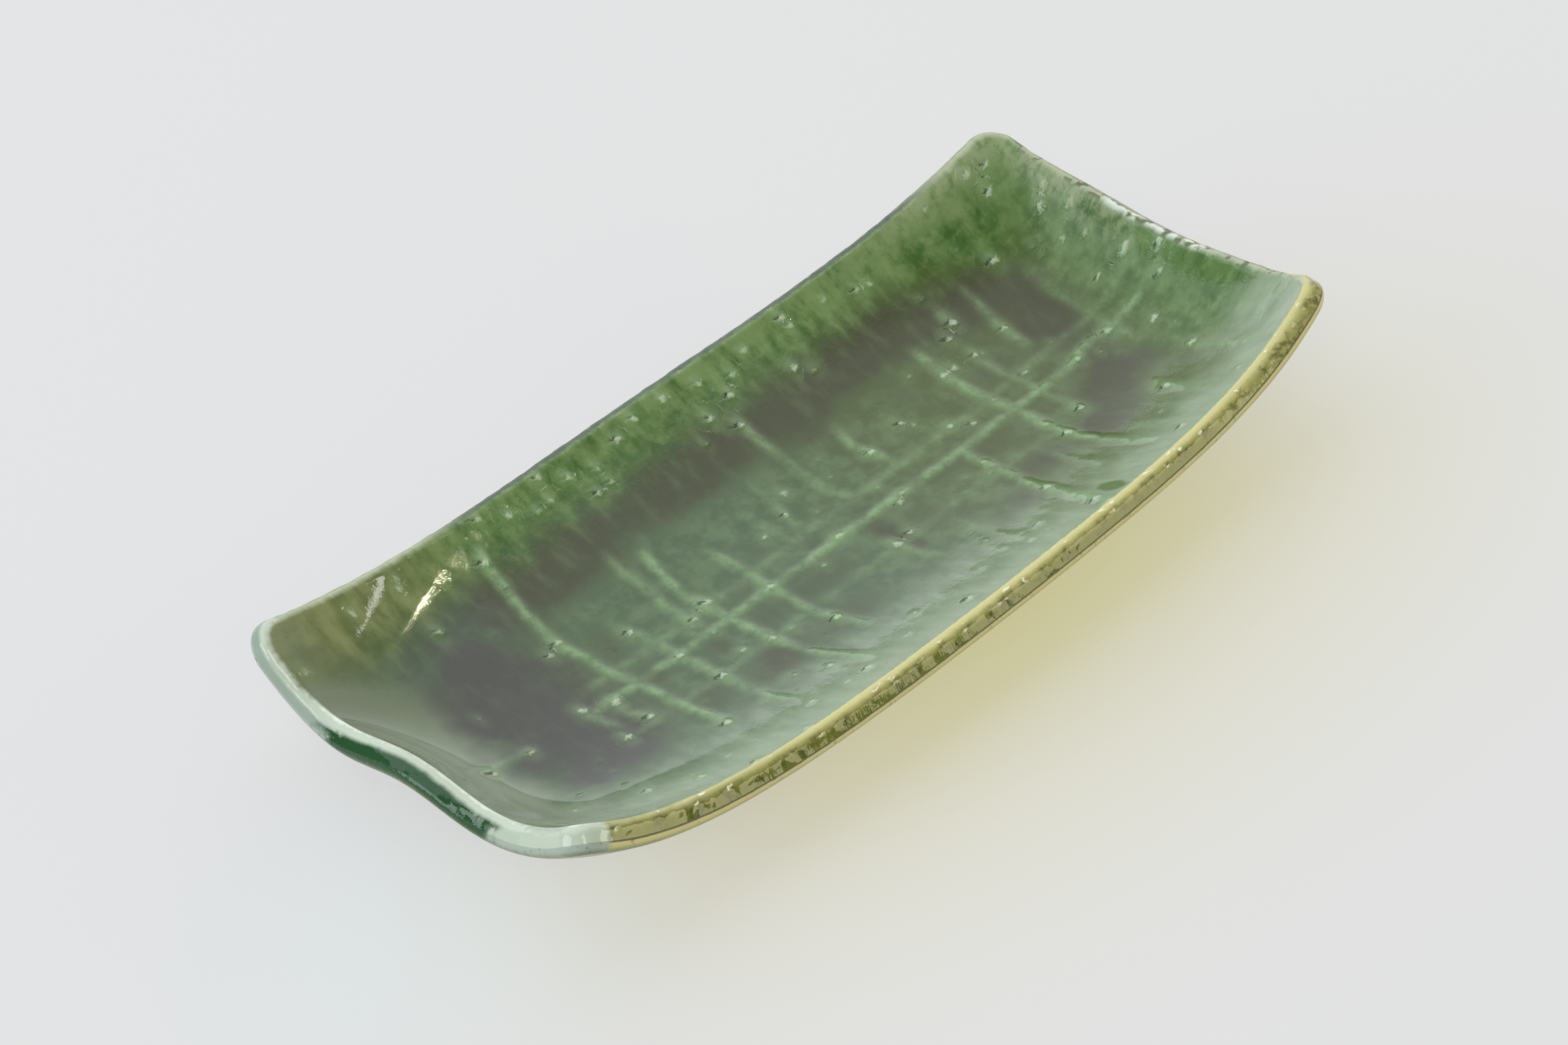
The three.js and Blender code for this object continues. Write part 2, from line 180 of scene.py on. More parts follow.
def layer(name, section, outside, cell, corner_cells, line_steps, pressed):
    """One closed layer of the plate. section lists [outward, down] points round its rim, from the upper face
    to the lower one, and outside says which of them show. line_steps says how many grid lines one cell of
    each face spans, and pressed which of the two faces carry the rib and the veins."""
    xs = stations(LENGTH / 2 - EDGE_ROUND, cell, corner_cells)
    ys = stations(WIDTH / 2 - EDGE_ROUND, cell, corner_cells)
    u, v = rounded_plan(*np.meshgrid(xs, ys))
    smooth, up = face_point(u, v), face_normal(u, v)
    columns, rows = len(xs), len(ys)
    west, east = range(columns - 1), range(columns - 1, 0, -1)
    south, north = range(rows - 1), range(rows - 1, 0, -1)
    ring = [(0, i) for i in west] + [(j, columns - 1) for j in south]
    ring += [(rows - 1, i) for i in east] + [(j, 0) for j in north]
    ring_j, ring_i = np.array(ring).T
    rim_point, rim_up = smooth[ring_j, ring_i], up[ring_j, ring_i]
    tangent = np.roll(rim_point, -1, axis=0) - np.roll(rim_point, 1, axis=0)
    outward = unit(np.cross(tangent, rim_up))
    rim_lie = np.stack([u[ring_j, ring_i], v[ring_j, ring_i]], axis=-1)

    known = {title: [] for title in ("place", "plan", "up", "lie", "on_face", "pressed")}
    faces = []

    def keep(*values):
        """Adds vertices. The values come in the order above, and a single mark goes for all of them."""
        first = sum(map(len, known["place"]))
        count = len(values[0])
        for rows_so_far, value in zip(known.values(), values):
            rows_so_far.append(np.full(count, value) if np.isscalar(value) else value)
        return np.arange(first, first + count)

    def grid(depth, step, is_upper, is_pressed):
        """One face of the layer, and the ring of its vertices along the rim."""
        j, i = np.arange(0, rows, step), np.arange(0, columns, step)
        pick = np.ix_(j, i)
        normal = up[pick].reshape(-1, 3)
        lie = np.stack([u[pick], v[pick], np.full(u[pick].shape, 0.0 if is_upper else 1.0)], axis=-1)
        place = smooth[pick].reshape(-1, 3)
        ids = keep(place - depth * normal, place, normal, lie.reshape(-1, 3), is_upper, is_pressed)
        ids = ids.reshape(len(j), len(i))
        corners = [ids[:-1, :-1], ids[:-1, 1:], ids[1:, 1:], ids[1:, :-1]]
        if not is_upper:
            corners.reverse()
        faces.extend(np.stack(corners, axis=-1).reshape(-1, 4).tolist())
        return [ids[b // step, a // step] for b, a in ring if b % step == 0 and a % step == 0]

    def band(above, below):
        """Faces between two rings; where one ring has more vertices, a face takes several of them."""
        count = min(len(above), len(below))
        many, few = len(above) // count, len(below) // count
        for k in range(count):
            upper = [above[(k * many + n) % len(above)] for n in range(many + 1)]
            lower = [below[(k * few + n) % len(below)] for n in range(few + 1)]
            faces.append([int(n) for n in lower + upper[::-1]])

    first_shown, last_shown = outside
    run = np.cumsum([0] + [math.dist(a, b) for a, b in zip(section, section[1:])])
    shown = np.clip((run - run[first_shown]) / (run[last_shown] - run[first_shown]), 0, 1)
    previous = grid(section[0][1], line_steps[0], True, pressed[0])
    for (out, down), share in zip(section[1:-1], shown[1:-1]):
        position = rim_point + out * outward - down * rim_up
        lie = np.column_stack([rim_lie, np.full(len(ring), share)])
        following = list(keep(position, rim_point, rim_up, lie, False, False))
        band(previous, following)
        previous = following
    band(previous, grid(section[-1][1], line_steps[1], False, pressed[1]))

    whole = {title: np.concatenate(rows_kept) for title, rows_kept in known.items()}
    whole["plan"][:, 2] = 0
    piece = add_piece(name, whole.pop("place") + MIDDLE, faces)
    for title, values in whole.items():
        store(piece, title, values)
    return piece


def socket_named(sockets, name):
    return next(socket for socket in sockets if socket.enabled and socket.name == name)


def feed(socket, value):
    """Links a Field to a socket, or writes a plain value on it."""
    if isinstance(value, Field):
        value.tree.links.new(value.socket, socket)
    else:
        socket.default_value = value


def add_node(tree, kind, inputs=None, **settings):
    node = tree.nodes.new(kind)
    for name, value in settings.items():
        setattr(node, name, value)
    for name, value in (inputs or {}).items():
        feed(socket_named(node.inputs, name), value)
    return node


def field(tree, kind, output, inputs=None, **settings):
    """Adds a node and returns one of its outputs."""
    node = add_node(tree, kind, inputs, **settings)
    return Field(tree, socket_named(node.outputs, output))


class Field:
    """A value in a node tree. Arithmetic on it adds Math nodes, so that a tree reads as its formula."""

    def __init__(self, tree, socket):
        self.tree = tree
        self.socket = socket

    def calc(self, operation, *others):
        node = add_node(self.tree, "ShaderNodeMath", operation=operation)
        for socket, value in zip(node.inputs, (self, *others)):
            feed(socket, value)
        return Field(self.tree, node.outputs[0])

    def vector(self, operation, *others, output="Vector"):
        node = add_node(self.tree, "ShaderNodeVectorMath", operation=operation)
        for socket, value in zip(node.inputs, (self, *others)):
            feed(socket, value)
        return Field(self.tree, node.outputs[output])

    def length(self):
        return self.vector("LENGTH", output="Value")

    def stretched(self, x, y, z=0.0):
        return self.vector("MULTIPLY", (x, y, z))

    def scaled(self, factor):
        inputs = {"Vector": self, "Scale": factor}
        return field(self.tree, "ShaderNodeVectorMath", "Vector", inputs, operation="SCALE")

    def part(self, axis):
        return field(self.tree, "ShaderNodeSeparateXYZ", axis, {"Vector": self})

    def rise(self, start, end):
        """0 at start and 1 at end, with a soft step between."""
        inputs = {"Value": self, "From Min": start, "From Max": end}
        return field(self.tree, "ShaderNodeMapRange", "Result", inputs, interpolation_type="SMOOTHSTEP")

    def bump(self, width):
        """A bell curve, 1 where this value is 0."""
        return ((self / width) ** 2 * -1.0).calc("EXPONENT")

    def noise(self, size, detail=2.0, roughness=0.5, output="Fac"):
        """Soft noise from 0 to 1 over this place, with features about size across."""
        inputs = {"Vector": self, "Scale": 1 / size, "Detail": detail, "Roughness": roughness}
        return field(self.tree, "ShaderNodeTexNoise", output, inputs)

    def centred(self, reach):
        """This share moved so that its middle is 0, and scaled."""
        return (self - 0.5) * reach

    def opposite(self):
        return self * -1.0 + 1.0

    def at_least(self, other):
        return self.calc("MAXIMUM", other)

    def parts(self):
        return [self.part(axis) for axis in "XYZ"]

    def __abs__(self):
        return self.calc("ABSOLUTE")

    def __add__(self, other):
        return self.calc("ADD", other)

    def __sub__(self, other):
        return self.calc("SUBTRACT", other)

    def __mul__(self, other):
        return self.calc("MULTIPLY", other)

    def __truediv__(self, other):
        return self.calc("DIVIDE", other)

    def __pow__(self, other):
        return self.calc("POWER", other)


def geometry_tree(name, **kinds):
    """A Geometry Nodes tree with inputs of each kind, named in a list, and the Field of each input."""
    tree = bpy.data.node_groups.new(name, "GeometryNodeTree")
    tree.interface.new_socket("Geometry", in_out="OUTPUT", socket_type="NodeSocketGeometry")
    inputs = [(title, kind) for kind, titles in kinds.items() for title in titles]
    for title, kind in inputs:
        tree.interface.new_socket(title, in_out="INPUT", socket_type="NodeSocket" + kind)
    source = tree.nodes.new("NodeGroupInput")
    return tree, {title: Field(tree, source.outputs[title]) for title, _ in inputs}


def end_tree(geometry, material):
    """Ends a tree in Realize Instances and Set Material, and returns it."""
    tree = geometry.tree
    whole = field(tree, "GeometryNodeRealizeInstances", "Geometry", {"Geometry": geometry})
    inputs = {"Geometry": whole, "Material": material}
    finished = field(tree, "GeometryNodeSetMaterial", "Geometry", inputs)
    sink = tree.nodes.new("NodeGroupOutput")
    feed(sink.inputs["Geometry"], finished)
    return tree


def apply_tree(piece, tree, values):
    """Runs a tree on a piece and keeps the result as the piece's plain mesh."""
    modifier = piece.modifiers.new(tree.name, "NODES")
    modifier.node_group = tree
    for item in tree.interface.items_tree:
        if item.name in values:
            modifier[item.identifier] = values[item.name]
    take_shape(piece)


def take_shape(piece):
    """Makes what the modifiers show the piece's plain mesh, and removes them."""
    graph = bpy.context.evaluated_depsgraph_get()
    shown = piece.evaluated_get(graph)
    mesh = bpy.data.meshes.new_from_object(shown, preserve_all_data_layers=True, depsgraph=graph)
    piece.modifiers.clear()
    piece.data = mesh


def named(tree, name, data_type="FLOAT"):
    return field(tree, "GeometryNodeInputNamedAttribute", "Attribute", {"Name": name}, data_type=data_type)


def own_place(tree):
    """Where each vertex or point of the geometry at hand lies."""
    return field(tree, "GeometryNodeInputPosition", "Position")


def stored(geometry, name, value, data_type="FLOAT"):
    inputs = {"Geometry": geometry, "Name": name, "Value": value}
    kind = "GeometryNodeStoreNamedAttribute"
    return field(geometry.tree, kind, "Geometry", inputs, data_type=data_type, domain="POINT")


def moved(geometry, **places):
    """Geometry with its points at a new Position, or shifted by an Offset."""
    inputs = {"Geometry": geometry, **places}
    return field(geometry.tree, "GeometryNodeSetPosition", "Geometry", inputs)


def object_geometry(item):
    return field(item.tree, "GeometryNodeObjectInfo", "Geometry", {"Object": item})


def nearest_point(geometry, place):
    inputs = {"Geometry": geometry, "Sample Position": place}
    return field(geometry.tree, "GeometryNodeSampleNearest", "Index", inputs)


def sample(geometry, value, index, data_type="FLOAT"):
    inputs = {"Geometry": geometry, "Value": value, "Index": index}
    kind = "GeometryNodeSampleIndex"
    return field(geometry.tree, kind, "Value", inputs, data_type=data_type, domain="POINT")


def line_field(lines, place, end_fade):
    """How strongly the nearest line of a guide presses here, how far it lies aside, and its half width."""
    tree = lines.tree
    curves = field(tree, "GeometryNodeMeshToCurve", "Curve", {"Mesh": object_geometry(lines)})
    inputs = {"Curve": curves}
    curves = field(tree, "GeometryNodeCurveSplineType", "Curve", inputs, spline_type="CATMULL_ROM")
    curves = field(tree, "GeometryNodeResampleCurve", "Curve", {"Curve": curves}, mode="EVALUATED")
    gone = field(tree, "GeometryNodeSplineParameter", "Length")
    whole = field(tree, "GeometryNodeSplineLength", "Length")
    fade = gone.calc("MINIMUM", whole - gone).rise(0.0, end_fade) * named(tree, "strength")
    track = field(tree, "GeometryNodeCurveToMesh", "Mesh", {"Curve": stored(curves, "share", fade)})
    inputs = {"Geometry": track, "Sample Position": place}
    aside = field(tree, "GeometryNodeProximity", "Distance", inputs, target_element="EDGES")
    nearest = nearest_point(track, place)
    share = sample(track, named(tree, "share"), nearest)
    reach = sample(track, named(tree, "half_width"), nearest)
    return share, aside, reach


def burr_field(given, plan, on_face):
    """The size of the nearest burr, listed or scattered, and this place as seen from its middle."""
    tree = plan.tree
    flat_face = field(tree, "GeometryNodeSeparateGeometry", "Selection", {
        "Geometry": given["Geometry"],
        "Selection": on_face.calc("GREATER_THAN", 0.5),
    })
    scattered = field(tree, "GeometryNodeDistributePointsOnFaces", "Points", {
        "Mesh": moved(flat_face, Position=plan),
        "Density": given["Burrs per square metre"],
        "Seed": given["Seed"],
    })
    chance = field(tree, "FunctionNodeRandomValue", "Value", {"Min": 0.1, "Max": 0.5, "Seed": given["Seed"]})
    far_up = named(tree, "lie", "FLOAT_VECTOR").part("Y").rise(0.65, 0.85) * 0.45
    scattered = stored(scattered, "burr_size", chance + far_up)
    inputs = {"Mesh": object_geometry(given["Burr places"])}
    placed = field(tree, "GeometryNodeMeshToPoints", "Points", inputs)
    join = add_node(tree, "GeometryNodeJoinGeometry", {"Geometry": scattered})
    feed(join.inputs["Geometry"], placed)
    burrs = Field(tree, join.outputs["Geometry"])
    nearest = nearest_point(burrs, plan)
    centre = sample(burrs, own_place(tree), nearest, "FLOAT_VECTOR")
    size = sample(burrs, named(tree, "burr_size"), nearest)
    return size, plan.vector("SUBTRACT", centre)


def combed(plan, at_end, width, stretch):
    """Noise drawn out up the walls, as the comb went: across the plate, and along it at the ends."""
    up_side = plan.stretched(1.0, stretch).noise(width)
    up_end = plan.stretched(stretch, 1.0).noise(width)
    return up_side * at_end.opposite() + up_end * at_end


# Widths of the sway of the lines, of their uneven stretches, of the combed streaks and of the rim's lumps,
# and the length of the run of glaze on the near rim
SWAY_WIDTH = 0.018
UNEVEN_WIDTH = 0.008
STREAK_WIDTH = 0.0026
STREAK_STRETCH = 0.14
LUMP_WIDTH = 0.0042
RUN_LENGTH = 0.012


def leaf_relief():
    """The tree that raises the rib and the veins, and on the glaze also the streaks and knobs that the comb
    left, and the lumps where the glaze ran over the rim."""
    tree, given = geometry_tree(
        "leaf_relief",
        Geometry=["Geometry"],
        Object=["Long lines", "Cross lines", "Burr places"],
        Float=["Wander", "End fade", "Line height", "Comb height", "Burr height", "Burr radius",
               "Burrs per square metre", "Rim lump height", "Run place"],
        Int=["Seed"],
        Material=["Material"],
    )
    plan = named(tree, "plan", "FLOAT_VECTOR")
    along, across, down = named(tree, "lie", "FLOAT_VECTOR").parts()
    on_face = named(tree, "on_face")

    sway = plan.noise(SWAY_WIDTH, output="Color").vector("SUBTRACT", (0.5, 0.5, 0.5))
    sway = sway.stretched(1.0, 1.0).scaled(given["Wander"])
    place = plan.vector("ADD", sway)
    uneven = plan.noise(UNEVEN_WIDTH, detail=3.0).rise(0.3, 0.62) * 0.7 + 0.3
    ridge, furrow = None, None
    for title in ("Long lines", "Cross lines"):
        share, aside, reach = line_field(given[title], place, given["End fade"])
        crest = share * uneven * aside.bump(reach)
        trough = share * (aside - reach * 2.0).bump(reach)
        ridge = crest if ridge is None else ridge.at_least(crest)
        furrow = trough if furrow is None else furrow.at_least(trough)

    at_end = abs(along).rise(0.86, 0.97)
    streak = combed(plan, at_end, STREAK_WIDTH, STREAK_STRETCH) - 0.5
    on_wall = abs(across).rise(0.45, 0.9).at_least(at_end)
    on_wall = on_wall * (along.rise(-0.75, -0.4) * 0.9 + 0.1)

    size, offset = burr_field(given, plan, on_face)
    radius = given["Burr radius"] * (size * 0.6 + 0.5)
    offset = offset.scaled(radius.at_least(0.0001) ** -1.0)
    knob = offset.stretched(0.9, 0.9).length().bump(1.0) * size

    line_lift = (ridge - furrow * 0.12) * given["Line height"] * named(tree, "pressed")
    glaze_lift = streak * on_wall * given["Comb height"] + knob * given["Burr height"]
    up = named(tree, "up", "FLOAT_VECTOR")
    skin = moved(given["Geometry"], Offset=up.scaled(line_lift + glaze_lift * on_face))
    lumpy = down.rise(0.0, 0.3) * down.rise(1.0, 0.85)
    at_run = (plan.part("X") - given["Run place"]).bump(RUN_LENGTH) * across.rise(-0.8, -0.95)
    at_right = along.rise(0.94, 0.97) * abs(across).rise(0.5, 0.3)
    lump = own_place(tree).noise(LUMP_WIDTH, detail=1.0).centred(given["Rim lump height"])
    lump = lump * lumpy * (at_run * 1.6 + 1.0 + at_right * 0.8)
    normal = field(tree, "GeometryNodeInputNormal", "Normal")
    skin = moved(skin, Offset=normal.scaled(lump))

    skin = stored(skin, "ridge", ridge * on_face)
    skin = stored(skin, "furrow", furrow * on_face)
    skin = stored(skin, "burr", size * offset.length().rise(5.0, 2.5) * on_face)
    skin = stored(skin, "from_burr", offset, "FLOAT_VECTOR")
    return end_tree(skin, given["Material"])


# Places of the lines in plan, in millimetres from the middle of the floor, each with its strength. The long
# lines are the rib, two faint ones beside it and a short one before it, and the others are the veins, from
# left to right.
MM = 0.001
LONG_LINES = [
    (1.0, [(-88, -2.5), (-53, -3.5), (-17, -2.6), (0, -2.9), (33, -3.1), (60, -3.5), (100, -3.4), (110, -1),
           (125, -1.8), (143, -3.2)]),
    (0.4, [(-84, 5), (-41, 4.5), (5, 5.5), (60, 5), (110, 6), (142, 6)]),
    (0.25, [(-90, -18), (-51, -18.5), (-16, -18), (10, -18), (85, -19)]),
    (0.5, [(-128, 0.5), (-112, -0.5), (-100, -2)]),
]
CROSS_LINES = [
    (0.6, [(-86, 4), (-84.5, -4), (-83.5, -12), (-84, -21)]),
    (0.7, [(-78, 2), (-77, -4), (-77.5, -9), (-75.5, -18)]),
    (1.0, [(-64, 60), (-66.5, 56), (-69, 49), (-70, 40), (-71, 33), (-71.5, 23), (-70, 14), (-69.5, 6),
           (-67.5, -3), (-67, -17), (-66.5, -26), (-66, -38)]),
    (0.8, [(-55, 16), (-53.5, 8), (-52.5, -3), (-52, -18), (-52.5, -29), (-52, -39), (-50, -52)]),
    (0.7, [(-39, 40), (-40, 34), (-40.5, 25), (-41, 6), (-40, -4)]),
    (1.0, [(-30, 36), (-33, 23), (-34.5, 12), (-33.5, -3), (-32.5, -18), (-32, -29), (-30, -39), (-27, -54)]),
    (0.8, [(-18, 24), (-17, 6), (-17.5, -3), (-17.5, -18), (-16.5, -27), (-14.5, -42)]),
    (0.4, [(-2, 30), (-1, 12), (-1, -6)]),
    (0.5, [(8, 34), (6.5, 16), (7, 3)]),
    (0.8, [(21, 50), (21, 38), (21, 20), (22.5, 10), (24.5, 2)]),
    (0.5, [(16, -9), (16, -22), (18, -36)]),
    (0.8, [(42, 32), (38.5, 20), (40.5, 14), (41, 2)]),
    (0.4, [(33, -20), (32, -38), (34, -56)]),
    (1.0, [(57, 3), (56.5, -12), (56, -20), (55, -32), (54.5, -45), (53, -56), (49, -66)]),
    (0.4, [(68, -14), (69, -28), (70, -50)]),
    (1.0, [(77, 36), (76.5, 22), (77, 10), (78.5, -4), (78.5, -10), (78.5, -25), (81, -40), (83, -56)]),
    (0.6, [(88, 26), (88, 18), (88.5, 4), (89, -22)]),
    (0.5, [(92, 42), (91.5, 28)]),
    (0.8, [(103, 40), (102, 28), (101.5, 21), (101, 8)]),
    (0.5, [(108, -24), (107, -44), (108, -60)]),
    (0.5, [(121, 34), (122, 10), (121, -16)]),
    (0.5, [(124, -24), (124, -42), (126, -58)]),
]
LINE_HEIGHT = 0.0005
LONG_HALF_WIDTH = 0.0016
CROSS_HALF_WIDTH = 0.0017


def plan_guide(name, places, edges, **values):
    """Places in plan that a node tree reads, with a number or more for each."""
    mesh = bpy.data.meshes.new(name)
    mesh.from_pydata([(x * MM, y * MM, 0) for x, y in places], edges, [])
    guide = bpy.data.objects.new(name, mesh)
    for title, numbers in values.items():
        store(guide, title, numbers)
    return guide


def line_guide(name, lines, half_width):
    places, edges, strengths = [], [], []
    for strength, path in lines:
        edges += [(len(places) + i, len(places) + i + 1) for i in range(len(path) - 1)]
        places += path
        strengths += [strength] * len(path)
    return plan_guide(name, places, edges, strength=strengths, half_width=[half_width] * len(places))


long_lines = line_guide("long_lines", LONG_LINES, LONG_HALF_WIDTH)
cross_lines = line_guide("cross_lines", CROSS_LINES, CROSS_HALF_WIDTH)

# Where the comb left its larger burrs, in the same plan, each with its size from 0 to 1
BURRS = [
    (-33, 6.5, 1.0), (-40, 4, 0.7), (-85, 0, 0.9), (-77, -4, 1.0), (-85, -17, 0.9), (-75.5, -15, 0.9),
    (-71.5, 23, 0.8), (-76, 21, 0.7), (-55, 13, 0.8), (-94, 43, 0.7), (-118, -2, 0.8), (-105, -2, 0.7),
    (-53, -3.5, 0.8), (-52, -18.5, 0.9), (-41, -15, 0.7), (-67, -35, 0.9), (-33, -18, 0.7), (-27, -19, 0.5),
    (-42, -35, 0.5), (-35, -41, 0.7), (-51, -50, 0.7), (-33, -53, 0.9), (-17.5, -2.5, 1.0), (-17, -26, 0.9),
    (-2, -7, 0.6), (-4, 13, 0.7), (-7, -45, 0.6), (2, -56, 1.0), (9, -2, 1.0), (12, 21, 0.7),
    (6.5, 15, 0.8), (16, -17, 1.0), (22, -16, 0.7), (16, -47, 0.6), (25, 53, 0.8), (15, 51, 0.8),
    (20.5, 45, 0.8), (30, -5, 0.7), (33, -3, 0.6), (40, 15, 0.9), (39, -47, 0.8), (28, -38, 0.6),
    (46, 49, 0.9), (54, 17, 0.7), (56, 14, 0.5), (62, 6, 0.8), (67, 2, 0.7), (55, -36, 1.0), (52, -56, 1.0),
    (50, -63, 0.9), (56, -12, 0.6), (76, 21, 0.9), (80, 21, 0.8), (78, -23, 1.0), (78, -15, 0.6),
    (78, 4, 0.5), (92, 32, 1.0), (87, 29, 0.8), (88, 20, 0.8), (101, 21, 0.8), (92, 5, 0.7), (89, -18, 0.8),
    (82, 54, 0.7), (105, -3, 0.8), (119, -1.5, 0.9), (116, 38, 1.0), (128, 50, 0.8), (133, 27, 0.6),
    (137, 22, 0.6), (131, 12, 0.7), (128, -11, 0.9), (106, -34, 1.0), (124, -28, 0.9), (138, -4.5, 0.7),
    (88, -55, 0.8), (113, -54, 0.6), (-93, 59, 0.6), (-31, 59, 0.7), (-11, 60, 0.8), (-3, 62, 0.8),
    (38, 60, 0.7), (68, 58, 0.6), (-45, 56, 0.6), (-61, 62, 0.7), (-53, 59, 0.8), (-38, 63, 0.7),
    (-22, 57, 0.6), (8, 62, 0.8), (20, 60, 0.7), (30, 57, 0.7), (54, 61, 0.8), (-101, -41, 0.7),
    (-91, -50, 0.8), (-81, -60, 0.7), (-63, -60, 0.6), (-117, -31, 0.6), (139, 9, 1.0), (143.5, 0, 0.9),
    (139, 39, 0.8), (140, 30, 0.7), (135, 37, 0.8), (141, 55, 0.7), (122, 60, 0.7), (110, 58, 0.6),
]
burr_middles = [(x, y) for x, y, _ in BURRS]
burr_places = plan_guide("burr_places", burr_middles, [], burr_size=[size for *_, size in BURRS])
relief = leaf_relief()


def paint(red, green, blue):
    """A colour as it looks on a screen, 0 to 255, as the linear colour that a shader takes."""
    shares = [value / 255 for value in (red, green, blue)]
    return [s / 12.92 if s <= 0.04045 else ((s + 0.055) / 1.055) ** 2.4 for s in shares] + [1.0]


def new_material(name, **constants):
    material = bpy.data.materials.new(name)
    material.use_nodes = True
    tree = material.node_tree
    shader = tree.nodes["Principled BSDF"]
    for title, value in constants.items():
        shader.inputs[title.replace("_", " ")].default_value = value
    return material, tree, shader


def blend(share, first, second):
    """Colour first where share is 0 and second where it is 1."""
    node = add_node(share.tree, "ShaderNodeMix", data_type="RGBA")
    names = {"Factor_Float": share, "A_Color": first, "B_Color": second}
    for socket in node.inputs:
        if socket.identifier in names:
            feed(socket, names[socket.identifier])
    result = next(socket for socket in node.outputs if socket.identifier == "Result_Color")
    return Field(share.tree, result)


def kept(tree, name, output="Fac"):
    """A value that the mesh keeps for each vertex."""
    return field(tree, "ShaderNodeAttribute", output, attribute_name=name)


def dress(shader, colour, roughness, height, distance):
    """Feeds a shader its colour and roughness, and raises the finest detail, too small for the mesh."""
    normal = field(colour.tree, "ShaderNodeBump", "Normal", {"Height": height, "Distance": distance})
    for title, value in (("Base Color", colour), ("Roughness", roughness), ("Normal", normal)):
        feed(shader.inputs[title], value)


CLAY_BUFF = paint(158, 132, 104)
CLAY_DARK = paint(116, 88, 62)
CLAY_GROG = paint(196, 178, 150)
CLAY_CLOUD = 0.012
CLAY_GRAIN = 0.0009
GROG_SIZE = 0.0013
CLAY_GRIT = 0.00025


def clay_material():
    material, tree, shader = new_material("bare_stoneware", Specular_IOR_Level=0.25)
    place = field(tree, "ShaderNodeTexCoord", "Object")
    cloud = place.noise(CLAY_CLOUD, detail=3.0)
    grain = place.noise(CLAY_GRAIN, detail=4.0, roughness=0.7)
    grog = place.noise(GROG_SIZE, detail=1.0).rise(0.64, 0.72)
    colour = blend(cloud.rise(0.35, 0.7), CLAY_BUFF, CLAY_DARK)
    colour = blend(grog * 0.7, colour, CLAY_GROG)
    dress(shader, colour, grain * 0.2 + 0.72, grain + grog * 0.4, CLAY_GRIT)
    return material


bare_stoneware = clay_material()


CREASE_ANGLE = math.radians(50)


def finish_piece(piece, nodes):
    """Smooth shading but for real creases, and the piece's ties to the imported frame."""
    piece.data.shade_smooth()
    piece.data.set_sharp_from_angle(angle=CREASE_ANGLE)
    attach(piece, "root")
    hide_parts(*nodes)


CLAY_ROUND = EDGE_ROUND - CLAY_TOP
clay_section = arc(CLAY_ROUND, EDGE_ROUND, 90, 0, 4)
clay_section += arc(CLAY_ROUND, PLATE_THICKNESS - EDGE_ROUND, 0, -90, 4)
clay_slab = layer(
    "clay_slab",
    clay_section,
    outside=(0, len(clay_section) - 1),
    cell=0.0015,
    corner_cells=4,
    line_steps=(1, 2),
    pressed=(True, False),
)
pressed_lines = {
    "Long lines": long_lines,
    "Cross lines": cross_lines,
    "Burr places": burr_places,
    "Wander": 0.0010,
    "End fade": 0.009,
    "Line height": LINE_HEIGHT,
}
apply_tree(clay_slab, relief, {**pressed_lines, "Material": bare_stoneware})
finish_piece(clay_slab, ["slab_body"])


# Glaze on the face
# A thick glossy copper green, poured over the face and run over the cut edge. It breaks pale where it is
# thin, on the rim, the lines and the burrs, pools brown over the floor, and keeps the comb's marks under it.
GLAZE_SPECULAR = 0.5
GLAZE_RIPPLE = 0.00018

# Sizes of the patterns in the glaze, from the largest to the smallest, and how far the comb's is drawn out
COMB_STRETCH = 0.4
SLIT_SPREAD = 0.016
WANDER_SIZE = 0.014
CLOUD_SIZE = 0.009
PATCH_SIZE = 0.0055
COMB_SIZE = 0.0046
MOTTLE_SIZE = 0.0034
BEAD_SIZE = 0.0030
GRAIN_SIZE = 0.0016
PAINTED_GLINT_SIZE = 0.0015
SHAKE_SIZE = 0.0011
SPECKLE_SIZE = 0.0009

# Colours of the glaze: on the floor, up the walls, on the marks, and round the rim
FLOOR_GREY_GREEN = paint(72, 94, 62)
FLOOR_OLIVE = paint(76, 91, 38)
POOL_BROWN = paint(60, 60, 28)
POOL_MAUVE = paint(66, 62, 60)
WALL_GREEN = paint(94, 122, 62)
WALL_DEEP = paint(58, 96, 40)
WALL_OLIVE = paint(132, 154, 102)
LEFT_OLIVE = paint(138, 144, 98)
LEFT_OLIVE_DEEP = paint(104, 116, 68)
# Thin pale glaze with a painted sheen, up the near wall
WALL_PALE_AND_PAINTED_SHEEN = paint(168, 182, 158)
LEFT_END_GREY = paint(128, 140, 116)
LEFT_END_FAR = paint(100, 112, 82)
THIN_GREEN = paint(134, 166, 116)
KNOB_PALE = paint(200, 216, 186)
PIT_DARK = paint(26, 34, 22)
RIM_CREAM = paint(208, 202, 138)
RIM_OLIVE = paint(110, 116, 42)
RIM_BLOTCH = paint(58, 66, 28)
# A painted white highlight along the left rim's upper arris
RIM_PAINTED_WHITE_HIGHLIGHT = paint(230, 238, 228)
RIM_MINT = paint(192, 204, 184)
RIM_GREY = paint(150, 166, 150)
RIM_DEEP = paint(32, 76, 38)
# Painted dark shade for the far rim's upper arris
RIM_FAR_PAINTED_SHADE = paint(62, 80, 66)
RIM_PALE = paint(172, 182, 148)
# Painted highlight spots on the right rim
RIM_PAINTED_SPOT_HIGHLIGHTS = paint(220, 228, 220)
# Painted glints on the near rim
RIM_PAINTED_GLINT = paint(246, 242, 214)

# Places in plan of a run of glaze on the near rim and of a green drop on the near wall
RUN_PLACE = -106 * MM
DROP_PLACE = (59 * MM, -56 * MM, 0)

